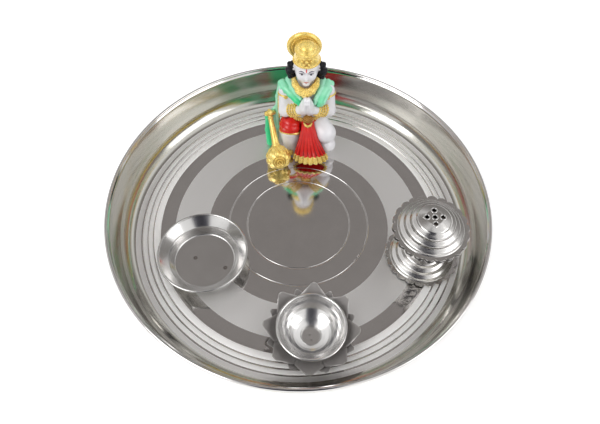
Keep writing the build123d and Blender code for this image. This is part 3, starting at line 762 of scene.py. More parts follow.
# %% Stepped pressings
stand_place = (86.0, -24.6)
stand_levels = {"base": 1.25, "cup": 36.45, "cap": 36.55}
stand_sheet, stand_bead = 0.6, 0.9
dome_height, dome_radius, dome_drop = 14.8, 10.6, 2.7
crown_line = [(0.0, 0.0), (3.0, 0.18), (5.4, 0.82), (8.0, 1.74), (dome_radius, dome_drop)]
crown_bend = 6.0
step_count, step_pitch, first_step_level = 4, 3.35, 13.1
riser_run, riser_drop, tread_bend, riser_bend = 0.7, 2.15, 1.1, 0.45
bend_turn, stand_step = radians(12), 0.6
bead_outer_turns, bead_inner_turns = np.linspace(1.35, 0.73, 6), np.linspace(0.0, -4.1, 17)
flange_line = [(22.1, 1.5), (22.6, 1.5), (23.05, 1.48), (23.2, 1.2), (23.05, 0.92), (22.6, 0.9), (22.1, 0.9)]
flange_weights = [0.25, 0.6, 0.96, 1.0, 0.96, 0.6, 0.25]
scallop_count, scallop_depth = 22, 2.0
stand_segments = 308


def pressing(way):
    """The section of a stepped dome with its bead and flange, and the scallop weight of each point."""
    peak = dome_height - stand_sheet / 2
    points = [(r, peak - drop) for r, drop in crown_line[:-1]]
    bends = [crown_bend] * (len(points) - 1)
    radius, level = dome_radius, first_step_level
    for step in range(step_count):
        tread_level = level if step else peak - dome_drop
        points += [(radius, tread_level), (radius + riser_run, level - riser_drop)]
        bends += [tread_bend, riser_bend]
        radius, level = radius + step_pitch, level - step_pitch
    hub = Vector(points[-1])
    line = dense(bent_line(points, bends[:-1], bend_turn), stand_step)
    above, below = skins(line, stand_sheet)
    above[0].x = below[0].x = 0.0
    above = [p for p in above if (p - hub).length > stand_bead]
    below = [p for p in below if (p - hub).length > stand_bead]
    outer = [hub + Vector((cos(a), sin(a))) * stand_bead for a in bead_outer_turns]
    inner = [hub + Vector((cos(a), sin(a))) * stand_bead for a in bead_inner_turns]
    section = [(max(p.x, 0.0), way * p.y) for p in above + outer]
    section += [(r, way * z) for r, z in flange_line]
    section += [(max(p.x, 0.0), way * p.y) for p in inner + below[::-1]]
    weights = [0.0] * (len(above) + len(outer)) + flange_weights + [0.0] * (len(inner) + len(below))
    return section, weights


def pressed(way, level):
    """A pressing whose dome points up for a way of 1 and down for -1."""
    section, weights = pressing(way)
    return spun_mesh(section, (*stand_place, level), stand_steel, stand_segments, scallops=scallop_count,
                     depth=scallop_depth, weights=weights)


def shade_painted_inside(mesh, first_share, inside_shade):
    """Painted shade on the inner side of a spun piece: what lies past first_share of its section."""
    tints = [0.0] * len(mesh.vertices)
    for loop, corner in zip(mesh.loops, mesh.uv_layers["UVMap"].data):
        if corner.uv.y > first_share:
            tints[loop.vertex_index] = inside_shade
    note(mesh, "tint", tints)
    return mesh


# The inside of the cup gets painted shade, a dark brown tint.
inside_first_share, inside_shade_level = 0.62, 0.9
base_mesh = pressed(1, stand_levels["base"])
settle("incense_base_pressed", base_mesh, stand_steel, "incense_stand", "stand_steel", "incense_base")
cup_mesh = shade_painted_inside(pressed(-1, stand_levels["cup"]), inside_first_share, inside_shade_level)
settle("incense_cup_pressed", cup_mesh, stand_steel, "incense_stand", "stand_steel", "incense_cup")

# %% Cap with its punched holes
cap_mesh = pressed(1, stand_levels["cap"])
crown_level = stand_levels["cap"] + dome_height
diamond_drop, diamond_half, diamond_edge = 0.8, 6.9, 0.6
pressed_reach, pressed_depth = 8.5, 2.5
for vertex in cap_mesh.vertices:
    x, y, z = vertex.co.x / mm - stand_place[0], vertex.co.y / mm - stand_place[1], vertex.co.z / mm
    far = hypot(x, y)
    if far < pressed_reach and z > crown_level - pressed_depth:
        flat = 1 - smooth_share(abs(x) + abs(y), diamond_half, diamond_half + diamond_edge)
        vertex.co.z += flat * (np.interp(far, *zip(*crown_line)) - diamond_drop) * mm

stick_ring_radius, stick_hole_radius = 5.1, 1.45
stick_holes = [(0.0, 0.0)]
stick_holes += [(stick_ring_radius * cos(a), stick_ring_radius * sin(a)) for a in (0, pi / 2, pi, 3 * pi / 2)]
punch_segments, punch_depth = 40, 6.0


def punched(mesh, places, radius, level):
    """Cut upright round holes through a mesh with a Boolean."""
    punch = bmesh.new()
    for x, y in places:
        hole = Matrix.Translation(Vector((stand_place[0] + x, stand_place[1] + y, level)) * mm)
        bmesh.ops.create_cone(punch, cap_ends=True, segments=punch_segments, radius1=radius * mm,
                              radius2=radius * mm, depth=punch_depth * mm, matrix=hole)
    tool_mesh = bpy.data.meshes.new("punch")
    punch.to_mesh(tool_mesh)
    punch.free()
    tool = bpy.data.objects.new("punch", tool_mesh)
    carrier = bpy.data.objects.new("carrier", mesh)
    scene.collection.objects.link(tool)
    scene.collection.objects.link(carrier)
    cut = carrier.modifiers.new("cut", "BOOLEAN")
    cut.object = tool
    cut.operation = "DIFFERENCE"
    cut.solver = "EXACT"
    result = bpy.data.meshes.new_from_object(carrier.evaluated_get(bpy.context.evaluated_depsgraph_get()))
    bpy.data.objects.remove(tool)
    bpy.data.objects.remove(carrier)
    return result


cap_mesh = punched(cap_mesh, stick_holes, stick_hole_radius, crown_level)
settle("incense_cap_pressed", cap_mesh, stand_steel, "incense_top", "stand_steel", "incense_cap")

# %% Raised lips of the stick holes
lip_radius, lip_half_width, lip_half_height = stick_hole_radius + 0.36, 0.42, 0.2
lip_segments = 36
lip_line = [(lip_radius + lip_half_width * cos(a), lip_half_height * sin(a)) for a in ring_turns]
lip_meshes = []
for x, y in stick_holes:
    lip_centre = (stand_place[0] + x, stand_place[1] + y, crown_level - diamond_drop)
    lip_meshes.append(spun_mesh(lip_line, lip_centre, lamp_steel, lip_segments))
settle("stick_hole_lips", joined(lip_meshes), lamp_steel, "incense_top", "stand_steel")

# %% Neck and its rivet
neck_level, neck_height = 16.05, 5.6
neck_radius, neck_waist, neck_end_radius = 6.2, 1.6, 5.9
neck_points, neck_segments = 15, 96
neck_arc = [(neck_radius - neck_waist * sin(pi * s), neck_height * (1 - s))
            for s in np.linspace(0, 1, neck_points)]
neck_line = [(0.0, neck_height), (neck_end_radius, neck_height), *neck_arc[1:-1],
             (neck_end_radius, 0.0), (0.0, 0.0)]
neck_mesh = spun_mesh(neck_line, (*stand_place, neck_level), stand_steel, neck_segments)
settle("incense_neck_turned", neck_mesh, stand_steel, "incense_stand", "stand_steel", "incense_neck")

rivet_steel, tree, shader, place = finish_material("rivet_steel")
cloud = noise(tree, place, scale=900.0, detail=4.0)
tone = ramp(tree, cloud, [(0.3, (0.5, 0.5, 0.49)), (0.7, (0.62, 0.62, 0.6))])
tree.links.new(tone.outputs[0], shader.inputs["Base Color"])
dull = maths(tree, "MULTIPLY_ADD", cloud, 0.2, 0.2)
tree.links.new(dull.outputs[0], shader.inputs["Roughness"])
shader.inputs["Metallic"].default_value = 1.0
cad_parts["neck_rivet"].material_slots[0].material = rivet_steel
print("stand built at", stand_place)

# %% [markdown]
# The figure is cast in resin and painted by hand, so its forms run softly into each other. Such forms are
# easy to write as distances: a limb is the distance to a line less a radius, an egg is a stretched ball,
# and two shapes melt together where their distances are nearly equal. The sculpt is a function of place,
# and a surface net turns it into a mesh. All places are millimetres from the middle of the figure's foot.

# %% Soft shapes
tiny = 1e-6  # keeps a division or a sign from failing at zero
section_blur = 1.5


def spot(*values):
    return np.array(values, float)


def limb(p, start, end, start_radius, end_radius):
    start, end = spot(*start), spot(*end)
    axis = end - start
    share = np.clip((p - start) @ axis / (axis @ axis), 0, 1)
    girth = start_radius + (end_radius - start_radius) * share
    return np.linalg.norm(p - start - share[:, None] * axis, axis=1) - girth


def egg(p, centre, radii):
    scaled = (p - spot(*centre)) / spot(*radii)
    far = np.linalg.norm(scaled, axis=1)
    steep = np.linalg.norm(scaled / spot(*radii), axis=1)
    return far * (far - 1) / np.maximum(steep, tiny)


def merge(first, second, soft):
    blend = np.maximum(soft - np.abs(first - second), 0) / soft
    return np.minimum(first, second) - blend * blend * soft / 4


def merged(shape, *forms):
    """Forms of (distance, softness) melted into a shape one after the other."""
    for form, soft in forms:
        shape = merge(shape, form, soft)
    return shape


def mirrored_at(p, middle):
    """Places whose left half is folded onto the right, so that one form gives a pair."""
    return np.stack([np.abs(p[:, 0] - middle), p[:, 1], p[:, 2]], 1)


def overlap(first, second, soft):
    return -merge(-first, -second, soft)


def carve(shape, tool, soft):
    return overlap(shape, -tool, soft)


def rope(p, points, soft=1.5):
    """Limbs through points of (x, y, z, radius)."""
    shape = np.full(len(p), 1e3)
    for a, b in zip(points, points[1:]):
        shape = merge(shape, limb(p, a[:3], b[:3], a[3], b[3]), soft)
    return shape


def section_at(p, sections):
    """Centre and half sizes of stacked sections (up, across, behind, half width, half depth)."""
    table = np.array(sections, float)
    columns = []
    shifts = (-section_blur, 0.0, section_blur)
    for column in range(1, 5):
        near = [np.interp(p[:, 2] + shift, table[:, 0], table[:, column]) for shift in shifts]
        columns.append(sum(near) / len(shifts))
    return columns


def stack(p, sections, soft=1.5, fold=None):
    """Elliptic sections one above the other. fold(angle, up) gives how far the side stands out."""
    across, behind, wide, deep = section_at(p, sections)
    x, y = (p[:, 0] - across) / wide, (p[:, 1] - behind) / deep
    side = (np.hypot(x, y) - 1) * np.minimum(wide, deep)
    if fold:
        side = side - fold(np.arctan2(x, -y), p[:, 2])
    ends = np.maximum(p[:, 2] - sections[-1][0], sections[0][0] - p[:, 2])
    return overlap(side, ends, soft)


def hoop(p, centre, axis, radius, girth):
    offset = p - spot(*centre)
    axis = spot(*axis) / np.linalg.norm(axis)
    height = offset @ axis
    far = np.linalg.norm(offset - height[:, None] * axis, axis=1)
    return np.hypot(far - radius, height) - girth


def ridge(value):
    """A row of round ridges with sharp valleys, from -0.5 to 0.5, one for each whole turn of value."""
    return np.abs(np.cos(value / 2)) - 0.5


def grains(p, pitch):
    """Small pressed beads all over, from -1 to 1."""
    k = 2 * pi / pitch
    return np.cos(k * p[:, 0]) * np.cos(k * (p[:, 2] + 0.5 * p[:, 1]))


print("soft shapes ready")

# %% From a distance to a mesh
untangle_rounds, pull_rounds = 20, 2
net_block, near_share = 4, 1.3
least_slope = 0.2


def untangled(grid):
    """Fill the weakest corner of each cell side whose corners alternate, so that no edge joins four faces."""
    for _ in range(untangle_rounds):
        knots = 0
        for axis in range(3):
            u, v = np.eye(3, dtype=int)[(axis + 1) % 3], np.eye(3, dtype=int)[(axis + 2) % 3]
            inside = grid < 0
            reach = np.array(grid.shape) - u - v
            shifted = [tuple(slice(f, f + n) for f, n in zip(s, reach)) for s in (0 * u, u, v, u + v)]
            a, b, c, d = (inside[part] for part in shifted)
            found = np.argwhere((a == d) & (b == c) & (a != b))
            knots += len(found)
            corners = np.stack([found, found + u, found + v, found + u + v], 1)
            values = grid[tuple(np.moveaxis(corners, 2, 0))]
            weakest = np.where(values < 0, np.inf, values).argmin(1)
            chosen = corners[np.arange(len(found)), weakest]
            grid[tuple(chosen.T)] = -np.maximum(np.abs(grid[tuple(chosen.T)]), tiny)
        if not knots:
            break
    return grid


def surface_net(field, low, high, cell):
    """Points and quads on the zero surface of field. Only blocks near the surface are looked at closely."""
    def refined(coarse):
        return coarse.repeat(net_block, 0).repeat(net_block, 1).repeat(net_block, 2)

    # Coarse samples tell which blocks lie near the surface
    low = spot(*low)
    pitch = cell * net_block
    blocks = np.ceil((spot(*high) - low) / pitch).astype(int)
    corners = np.stack(np.meshgrid(*[np.arange(n + 1) for n in blocks], indexing="ij"), -1)
    rough = field(low + corners.reshape(-1, 3) * pitch).reshape(blocks + 1)
    near = np.full(blocks, np.inf)
    shifts = [(i, j, k) for i in (0, 1) for j in (0, 1) for k in (0, 1)]
    for i, j, k in shifts:
        part = rough[i:blocks[0] + i, j:blocks[1] + j, k:blocks[2] + k]
        near = np.minimum(near, np.abs(part))
    # Fine samples are taken only there
    grid = np.pad(refined(rough[:-1, :-1, :-1]), (0, 1), "edge")
    fine = refined(near < pitch * near_share)
    wanted = np.zeros(grid.shape, bool)
    for i, j, k in shifts:
        wanted[i:fine.shape[0] + i, j:fine.shape[1] + j, k:fine.shape[2] + k] |= fine
    grid[wanted] = field(low + np.argwhere(wanted) * cell)
    grid = untangled(grid)
    # Each cell that the surface crosses gets a point at the mean of its crossings
    inside = grid < 0
    count = np.zeros(np.array(grid.shape) - 1, int)
    for i, j, k in shifts:
        count += inside[i:grid.shape[0] - 1 + i, j:grid.shape[1] - 1 + j, k:grid.shape[2] - 1 + k]
    cells = np.argwhere((count > 0) & (count < 8))
    number = np.full(count.shape, -1)
    number[tuple(cells.T)] = np.arange(len(cells))
    total, hits = np.zeros((len(cells), 3)), np.zeros(len(cells))
    for corner in shifts:
        for axis in range(3):
            if corner[axis]:
                continue
            step = np.eye(3, dtype=int)[axis]
            a = grid[tuple((cells + corner).T)]
            b = grid[tuple((cells + corner + step).T)]
            cross = (a < 0) != (b < 0)
            share = np.where(cross, a / np.where(cross, a - b, 1.0), 0.0)
            total += cross[:, None] * (np.array(corner) + share[:, None] * step)
            hits += cross
    points = low + (cells + total / hits[:, None]) * cell
    # Each grid edge that the surface crosses gets a quad of the four cells round it
    quads = []
    for axis in range(3):
        u, v = np.eye(3, dtype=int)[(axis + 1) % 3], np.eye(3, dtype=int)[(axis + 2) % 3]
        before = [slice(None)] * 3
        after = [slice(None)] * 3
        before[axis], after[axis] = slice(0, -1), slice(1, None)
        flips = inside[tuple(before)] != inside[tuple(after)]
        edges = np.argwhere(flips)
        edges = edges[(edges[:, (axis + 1) % 3] > 0) & (edges[:, (axis + 2) % 3] > 0)]
        ring = np.stack([number[tuple((edges - s).T)] for s in (u + v, v, 0 * u, u)], 1)
        outward = inside[tuple(edges.T)]
        quads.append(np.where(outward[:, None], ring, ring[:, ::-1]))
    return points, np.concatenate(quads)


def slope_of(field, points, step=0.04):
    sides = [(field(points + step * way) - field(points - step * way)) / (2 * step) for way in np.eye(3)]
    return np.stack(sides, 1)


figure_place = spot(3.6, 76.0, floor_level)
sculpted = []


def sculpt(name, field, low, high, cell):
    """Mesh a field and pull its points onto the surface. The mesh waits in the list for its measure of pooled
    paint and painted shade.
    """
    points, quads = surface_net(field, low, high, cell)
    for _ in range(pull_rounds):
        slope = slope_of(field, points)
        move = field(points)[:, None] * slope / np.maximum((slope * slope).sum(1), least_slope)[:, None]
        points = points - np.clip(move, -cell, cell)
    points[:, 2] = np.maximum(points[:, 2], 0.0)
    normals = slope_of(field, points)
    normals /= np.maximum(np.linalg.norm(normals, axis=1), tiny)[:, None]
    sculpted.append({"name": name, "field": field, "low": spot(*low), "high": spot(*high),
                     "points": points, "quads": quads, "normals": normals})
    print(name, len(points), "points")


# %% [markdown]
# The body kneels on its left knee with joined hands. Chest, arms, hands and legs are one cast piece with
# soft joints. Each finger is a thin limb, and one hand is the mirror image of the other.

# %% Body
arms = {
    "right": [(-14.2, 1.5, 56.0, 5.4), (-14.8, -3.5, 40.0, 4.8), (-3.2, -12.2, 50.2, 3.4)],
    "left": [(15.2, 1.5, 56.0, 5.4), (17.2, -3.5, 41.4, 4.8), (4.8, -12.2, 50.6, 3.4)]}
chest_sections = [(33, 0, 1, 12, 8.8), (44, 0, 1.2, 14, 9.4), (54, 0, 1.8, 15.5, 9.6), (60, 0, 1.8, 13, 8),
                  (64, 0, 1.2, 7.2, 6.2)]
hand_middle = 0.75
hand_way = spot(0, -0.303, 0.953)
hand_side = spot(0, 0.953, 0.303)
wrist = spot(hand_middle, -12.4, 50.8)
fingers = [(-2.9, 12.2), (-1.0, 13.8), (0.9, 13.4), (2.7, 11.8)]
finger_root_radius, finger_tip_radius, finger_close_share = 2.0, 1.45, 0.72


def hands(p):
    m = mirrored_at(p, hand_middle)
    base = wrist - spot(hand_middle, 0, 0)
    palm = egg(m, base + hand_way * 4.6 + spot(1.4, 0, 0), (3.5, 4.6, 6.0))
    heel = limb(m, base + spot(2.0, 0.3, -2.2), base + hand_way * 2.4 + spot(1.6, 0, 0), 3.2, 3.5)
    palm = merge(palm, heel, 2.5)
    for side, reach in fingers:
        root = base + hand_way * 6.0 + hand_side * side + spot(1.3, 0, 0)
        tip = base + hand_way * reach + hand_side * (side * finger_close_share) + spot(1.0, 0, 0)
        palm = merge(palm, limb(m, root, tip, finger_root_radius, finger_tip_radius), 0.6)
    thumb_root = base + hand_way * 3.0 + hand_side * 4.0 + spot(1.9, 0, 0)
    thumb = limb(m, thumb_root, thumb_root + hand_way * 5.4 + spot(-0.4, 0, 0), 1.6, 1.1)
    return merge(palm, thumb, 1.0)


def body_field(p):
    shape = stack(p, chest_sections, 3.0)
    for points in arms.values():
        shape = merge(shape, rope(p, points, 1.0), 2.2)
    shin = limb(p, (-11.4, -6.8, 23.0), (-10.6, -8.0, 5.0), 7.7, 5.2)
    shin_muscle = egg(p, (-10.8, -5.4, 16.0), (7.4, 7.4, 9.0))
    foot = limb(p, (-11.5, -8.0, 3.6), (-13.6, -12.0, 2.6), 3.6, 2.6)
    right_leg = merged(shin, (shin_muscle, 2.5), (foot, 2.5))
    thigh = limb(p, (8.6, -1.0, 25.0), (14.8, -7.0, 20.6), 8.6, 7.8)
    knee = egg(p, (15.4, -8.6, 21.0), (7.4, 6.8, 7.0))
    calf = limb(p, (17.0, -9.2, 9.4), (16.4, -7.6, 5.6), 6.7, 5.5)
    calf_behind = limb(p, (15.6, -7.0, 6.2), (16.0, 7.0, 5.8), 6.1, 5.5)
    left_leg = merged(thigh, (knee, 3.0), (merge(calf, calf_behind, 2.0), 0.7))
    shape = merged(shape, (hands(p), 1.0), (right_leg, 1.5), (left_leg, 1.5))
    return overlap(shape, -p[:, 2], 0.6)


sculpt("figure_body", body_field, (-26, -23, -1), (27, 17, 67), 0.5)

# %% [markdown]
# The head follows the plain proportions of a drawing lesson: the eyes halfway up, the nose a quarter, the
# mouth a little under it, and a calm look. Hair frames it in glossy curls and lies flat on the halo behind.

# %% Head and hair
halo_back = 11.0


def head_field(p):
    m = mirrored_at(p, 0.0)
    skull, jaw = egg(p, (0, 0.6, 80.0), (8.3, 8.8, 9.4)), egg(p, (0, -1.5, 74.6), (6.5, 6.9, 6.8))
    cheeks = egg(m, (3.9, -5.4, 75.9), (2.4, 2.2, 2.4))
    chin = egg(p, (0, -6.9, 69.9), (2.3, 1.5, 1.6))
    sockets = egg(m, (3.1, -9.3, 79.7), (2.5, 1.5, 1.5))
    eyes = egg(m, (3.1, -7.2, 79.6), (1.8, 1.1, 1.0))
    brows = limb(m, (1.2, -8.3, 81.7), (4.9, -6.9, 82.0), 0.7, 0.5)
    nose = limb(p, (0, -8.1, 80.0), (0, -9.2, 76.3), 0.6, 1.15)
    nostrils = egg(m, (1.0, -8.2, 75.8), (0.8, 0.9, 0.7))
    upper_lip = limb(m, (0.3, -8.1, 73.3), (1.7, -7.6, 73.0), 0.5, 0.25)
    lower_lip = limb(m, (0.0, -8.0, 72.2), (1.3, -7.6, 72.5), 0.6, 0.3)
    mouth = limb(m, (0.0, -8.9, 72.75), (1.9, -8.1, 72.8), 0.16, 0.1)
    ear_hollows = egg(m, (10.0, 0.2, 78.6), (0.7, 1.1, 1.9))
    ears = carve(egg(m, (8.9, 0.8, 78.4), (1.3, 2.1, 3.0)), ear_hollows, 0.5)
    neck = limb(p, (0, 1.0, 61.5), (0, 0.6, 70.0), 5.4, 5.2)
    shape = merged(skull, (jaw, 3.5), (cheeks, 2.0), (chin, 1.8))
    shape = carve(shape, sockets, 1.2)
    shape = merged(shape, (eyes, 0.25), (brows, 1.2), (nose, 1.2), (nostrils, 0.5), (upper_lip, 0.6),
                   (lower_lip, 0.6))
    shape = carve(shape, mouth, 0.25)
    return merged(shape, (ears, 0.8), (neck, 2.0))


curls = [((10.4, 1.5, 79.2), 3.0), ((11.1, 0.8, 75.0), 3.4), ((10.1, 1.5, 70.8), 3.3)]


def hair_field(p):
    m = mirrored_at(p, 0.0)
    strands = 0.22 * np.sin(7 * np.arctan2(p[:, 0], p[:, 1] - 4.5))
    shape = limb(p, (0, 4.4, 71.5), (0, 4.8, 80.0), 6.8, 8.2) - strands
    for centre, girth in curls:
        offset = m - spot(*centre)
        far = np.linalg.norm(offset, axis=1)
        twist = 0.3 * np.sin(5 * np.arctan2(offset[:, 2], offset[:, 0]) + 1.6 * far)
        shape = merge(shape, far - girth - twist, 0.5)
    return overlap(shape, p[:, 1] - halo_back, 0.8)


sculpt("figure_head", head_field, (-12, -13, 55), (12, 12, 91), 0.34)
sculpt("figure_hair", hair_field, (-17, -5, 62), (17, 15, 91), 0.45)

# %% [markdown]
# Crown and halo are cast with the head and painted gold. The crown is a flared band with a flower in
# front and a dome on top, and the halo is a disc with a round rim.

# %% Crown and halo
crown_place = (0.0, 0.4)
crown_sections = [(85.0, *crown_place, 8.7, 8.7), (86.6, *crown_place, 8.8, 8.8),
                  (94.6, *crown_place, 7.4, 7.4)]
foot_band, brim_band, wave_band = 85.9, 94.0, 93.0
flower_middle, flower_up = spot(0, -7.95, 90.4), spot(0, 0.29, 0.957)
flower_reaches = (3.1, 2.3)


def crown_field(p):
    def bands(angle, up):
        raised = np.exp(-((up - foot_band) / 0.5) ** 2) + np.exp(-((up - brim_band) / 0.55) ** 2)
        waves = 0.5 * ridge(16 * angle) * np.exp(-((up - wave_band) / 1.0) ** 2)
        return 0.4 * raised + waves

    dome, knob = egg(p, (*crown_place, 93.8), (6.6, 6.6, 5.5)), egg(p, (*crown_place, 99.0), (1.7, 1.7, 0.7))
    flower = egg(p, flower_middle, (1.3, 1.2, 1.4))
    shape = merged(stack(p, crown_sections, 0.8, bands), (dome, 0.6), (knob, 0.5), (flower, 0.2))
    for turn in range(8):
        angle = turn * pi / 4
        reach = flower_reaches[turn % 2]
        centre = flower_middle + spot(reach * cos(angle), 0.05 * reach * reach * cos(angle) ** 2, 0)
        centre = centre + flower_up * (1.2 * reach * sin(angle))
        shape = merge(shape, egg(p, centre, (1.0, 0.9, 1.1)), 0.2)
    for side in (-1, 1):
        shape = merge(shape, egg(p, (side * 5.9, -5.4, 89.8), (1.4, 1.2, 2.0)), 0.3)
    return shape


halo_centre = (-1.8, halo_back, 87.5)
halo_rim_radius, halo_disc_radius, halo_ring_radius, halo_half = 9.9, 10.4, 7.6, 0.8


def halo_field(p):
    offset = p - spot(*halo_centre)
    far = np.hypot(offset[:, 0], offset[:, 2])
    rim = np.hypot(far - halo_rim_radius, offset[:, 1] * 0.95) - 1.55
    disc = overlap(far - halo_disc_radius, np.abs(offset[:, 1]) - halo_half, 0.5)
    ring = np.hypot(far - halo_ring_radius, offset[:, 1] + halo_half) - 0.55
    return merged(rim, (disc, 0.4), (ring, 0.3))


sculpt("figure_crown", crown_field, (-12, -13, 84), (12, 12, 100), 0.34)
sculpt("figure_halo", halo_field, (-14, 8, 74), (13, 14, 100.6), 0.36)

# %% [markdown]
# Cloth is where the sculptor shows folds. The shawl is rolls of cloth side by side over each shoulder, a
# cape behind and a tail beside the mace. The waist cloth has creases over the raised thigh, and the sash
# is a fan of fine pleats with a hem of wider gold folds. Angles round each section place the pleats.

# %% Shawl
shawl_rolls = [
    [(-16.8, 5.0, 59.4, 2.6), (-14.2, -1.6, 60.2, 2.6), (-10.6, -5.8, 58.8, 2.6), (-6.4, -9.6, 56.4, 2.3),
     (-4.2, -11.2, 54.8, 1.7)],
    [(-13.0, 5.4, 62.4, 1.9), (-10.0, -2.4, 62.4, 1.9), (-6.8, -6.6, 61.0, 1.8), (-3.4, -9.8, 58.6, 1.4)],
    [(-18.2, 6.5, 57.6, 2.2), (-16.9, 0.4, 58.2, 1.9), (-15.0, -3.0, 57.6, 1.0)],
    [(15.6, 5.0, 60.2, 2.6), (13.9, -1.6, 60.4, 2.6), (11.6, -6.0, 58.6, 2.5), (10.0, -9.6, 55.6, 2.3),
     (9.2, -10.8, 53.8, 1.8)],
    [(12.2, 5.4, 62.4, 1.9), (10.6, -2.4, 62.4, 1.9), (8.4, -6.8, 60.6, 1.8), (6.9, -10.0, 57.6, 1.6),
     (6.3, -11.3, 55.6, 1.3)],
    [(18.0, 6.0, 58.2, 2.3), (16.6, -0.6, 58.8, 2.1), (14.4, -5.2, 57.2, 2.0), (12.4, -8.8, 54.6, 1.7),
     (11.2, -10.2, 53.0, 1.3)]]
deep_green_rolls = {0: 0.95, 3: 0.55}
tail_strands = [
    [(-18.4, 6.0, 58.0, 1.8), (-20.6, 4.5, 46.0, 1.6), (-20.9, 3.5, 30.0, 1.5), (-20.4, 3.0, 12.0, 1.5)],
    [(-20.2, 6.5, 36.0, 1.8), (-23.2, 5.0, 25.0, 2.6), (-23.0, 3.6, 13.0, 2.6), (-22.4, 2.5, 3.0, 2.4)],
    [(-20.8, 6.8, 34.0, 1.8), (-28.2, 4.5, 23.5, 2.3), (-28.4, 1.5, 13.0, 2.5), (-27.2, -3.5, 3.0, 2.6)]]
cape_sections = [(0, -5.5, 12, 11.5, 7.4), (20, -4.5, 11.5, 13.0, 7.5), (42, -1.0, 8.5, 17.0, 7),
                 (56, 0, 6, 17, 7), (63.5, 0, 5, 11, 5.5)]


def shawl_strands(p):
    """The distance to each roll of cloth in the two shoulder bands."""
    return [rope(p, roll, 0.8) for roll in shawl_rolls]


def cape_fold(angle, up):
    return 0.55 * ridge(20 * angle + 0.08 * up)


def shawl_field(p):
    shape = stack(p, cape_sections, 2.0, cape_fold)
    for strand in shawl_strands(p):
        shape = merge(shape, strand, 0.5)
    for strand in tail_strands:
        shape = merge(shape, rope(p, strand, 1.2), 0.6)
    return overlap(shape, -p[:, 2], 0.4)


sculpt("figure_shawl", shawl_field, (-32, -18, -1), (23, 22, 69), 0.5)

# %% Waist cloth and sash
seat_sections = [(0, 0, 4, 15.5, 13.5), (10, 0, 4, 17.2, 15), (22, 0, 3, 15.2, 12.2), (33.5, 0, 1, 12, 8.8)]
sash_sections = [(6.0, 4.6, -20.6, 11.2, 5.0), (10.0, 4.3, -19.7, 10.2, 3.8), (15, 3.6, -18.2, 9.0, 4.4),
                 (22, 2.8, -14.6, 6.5, 4.4), (29, 2.2, -10.4, 5.0, 4.0), (36, 1.8, -6.8, 4.2, 3.2)]
hem_sections = [(5.4, 4.7, -20.6, 12.9, 6.8), (10.4, 4.3, -19.7, 10.6, 3.9)]
wrap_hem_centre, wrap_hem_way = spot(-10.7, -6.7, 21.2), spot(0.05, 0.55, 0.83)


def wrap_limb(p):
    across = np.clip(p[:, 0] + 18, 0, 20)
    creases = np.abs(np.cos(pi * (p[:, 2] + 0.010 * across**2 + 0.30 * p[:, 1]) / 4.4)) - 0.5
    return limb(p, (-7.0, 2.0, 23.5), (-10.8, -6.0, 27.0), 9.4, 8.0) - 0.95 * creases


def cloth_field(p):
    shape = stack(p, seat_sections, 1.5, lambda angle, up: 0.35 * ridge(24 * angle + 0.1 * up))
    skirt = limb(p, (-11.0, -5.6, 27.0), (-11.2, -6.6, 23.6), 8.3, 8.3)
    wrap = overlap(merge(wrap_limb(p), skirt, 1.0), (wrap_hem_centre - p) @ wrap_hem_way, 0.6)
    shape = merge(shape, wrap, 1.0)
    return overlap(shape, -p[:, 2], 0.4)


def sash_fold(angle, up):
    return (0.25 + 1.45 * np.clip(1 - (up - 8) / 24, 0, 1)) * ridge(18 * angle)


def sash_field(p):
    return stack(p, sash_sections, 0.8, sash_fold)


def hems_field(p):
    hem = stack(p, hem_sections, 0.8, lambda angle, up: 1.5 * ridge(18 * angle) - 0.1)
    hem = carve(hem, stack(p, [(3, 4.7, -20.6, 11.6, 5.4), (7.0, 4.6, -20.4, 10.8, 4.6)], 0.3), 0.3)
    hem = np.minimum(hem, egg(p, (-10.6, -14.6, 4.6), (2.0, 2.4, 2.2)))
    return merge(hem, hoop(p, wrap_hem_centre, wrap_hem_way, 8.2, 1.15), 0.3)


sculpt("figure_cloth", cloth_field, (-22, -18, -1), (19, 21, 38), 0.5)
sculpt("figure_sash", sash_field, (-12, -29, 4), (20, -2, 38), 0.4)
sculpt("figure_hems", hems_field, (-22, -30, 1), (20, 4, 30), 0.4)

# %% [markdown]
# The jewels are a broad collar, a belt with a round buckle and a crescent under it, bangles, armlets and
# a thin gold trim down the tail of the shawl. The mould gave collar, belt, buckle and armlets small pressed
# beads. The mace has a round head with leaves and a rosette of rings.

# %% Jewels
def between(start, end, share):
    return spot(*start[:3]) * (1 - share) + spot(*end[:3]) * share


collar_line = [(-9.0, 0.5, 70.0, 1.7), (-7.6, -5.0, 67.4, 2.2), (-4.8, -8.2, 65.0, 2.7),
               (-0.4, -9.4, 63.6, 3.1), (4.0, -8.2, 65.0, 2.7), (6.8, -5.0, 67.4, 2.2),
               (8.2, 0.5, 70.0, 1.7)]
trim_line = [(-18.0, 3.6, 58.0, 0.5), (-19.9, 2.6, 48.0, 0.5), (-20.0, 1.8, 36.0, 0.5),
             (-19.6, 2.2, 26.0, 0.5)]
crescent_line = [(-0.8, -11.4, 34.8, 0.6), (0.4, -12.2, 33.3, 0.8), (2.0, -12.6, 32.6, 0.85),
                 (3.6, -12.2, 33.3, 0.8), (4.8, -11.4, 34.8, 0.6)]
belt_centre, belt_half_width, belt_half_depth = spot(0, 1.1, 35.8), 13.0, 10.1
belt_sections = [(level, 0, belt_centre[1], belt_half_width, belt_half_depth) for level in (34.6, 37.0)]
bangle_shares = {"right": (0.43, 0.57, 0.71, 0.84), "left": (0.36, 0.50, 0.63, 0.76)}
bangle_girth = 0.8
armlet_share, armlet_radius, armlet_girth = 0.16, 5.4, 0.65


def girth_at(start, end, share):
    return start[3] + (end[3] - start[3]) * share


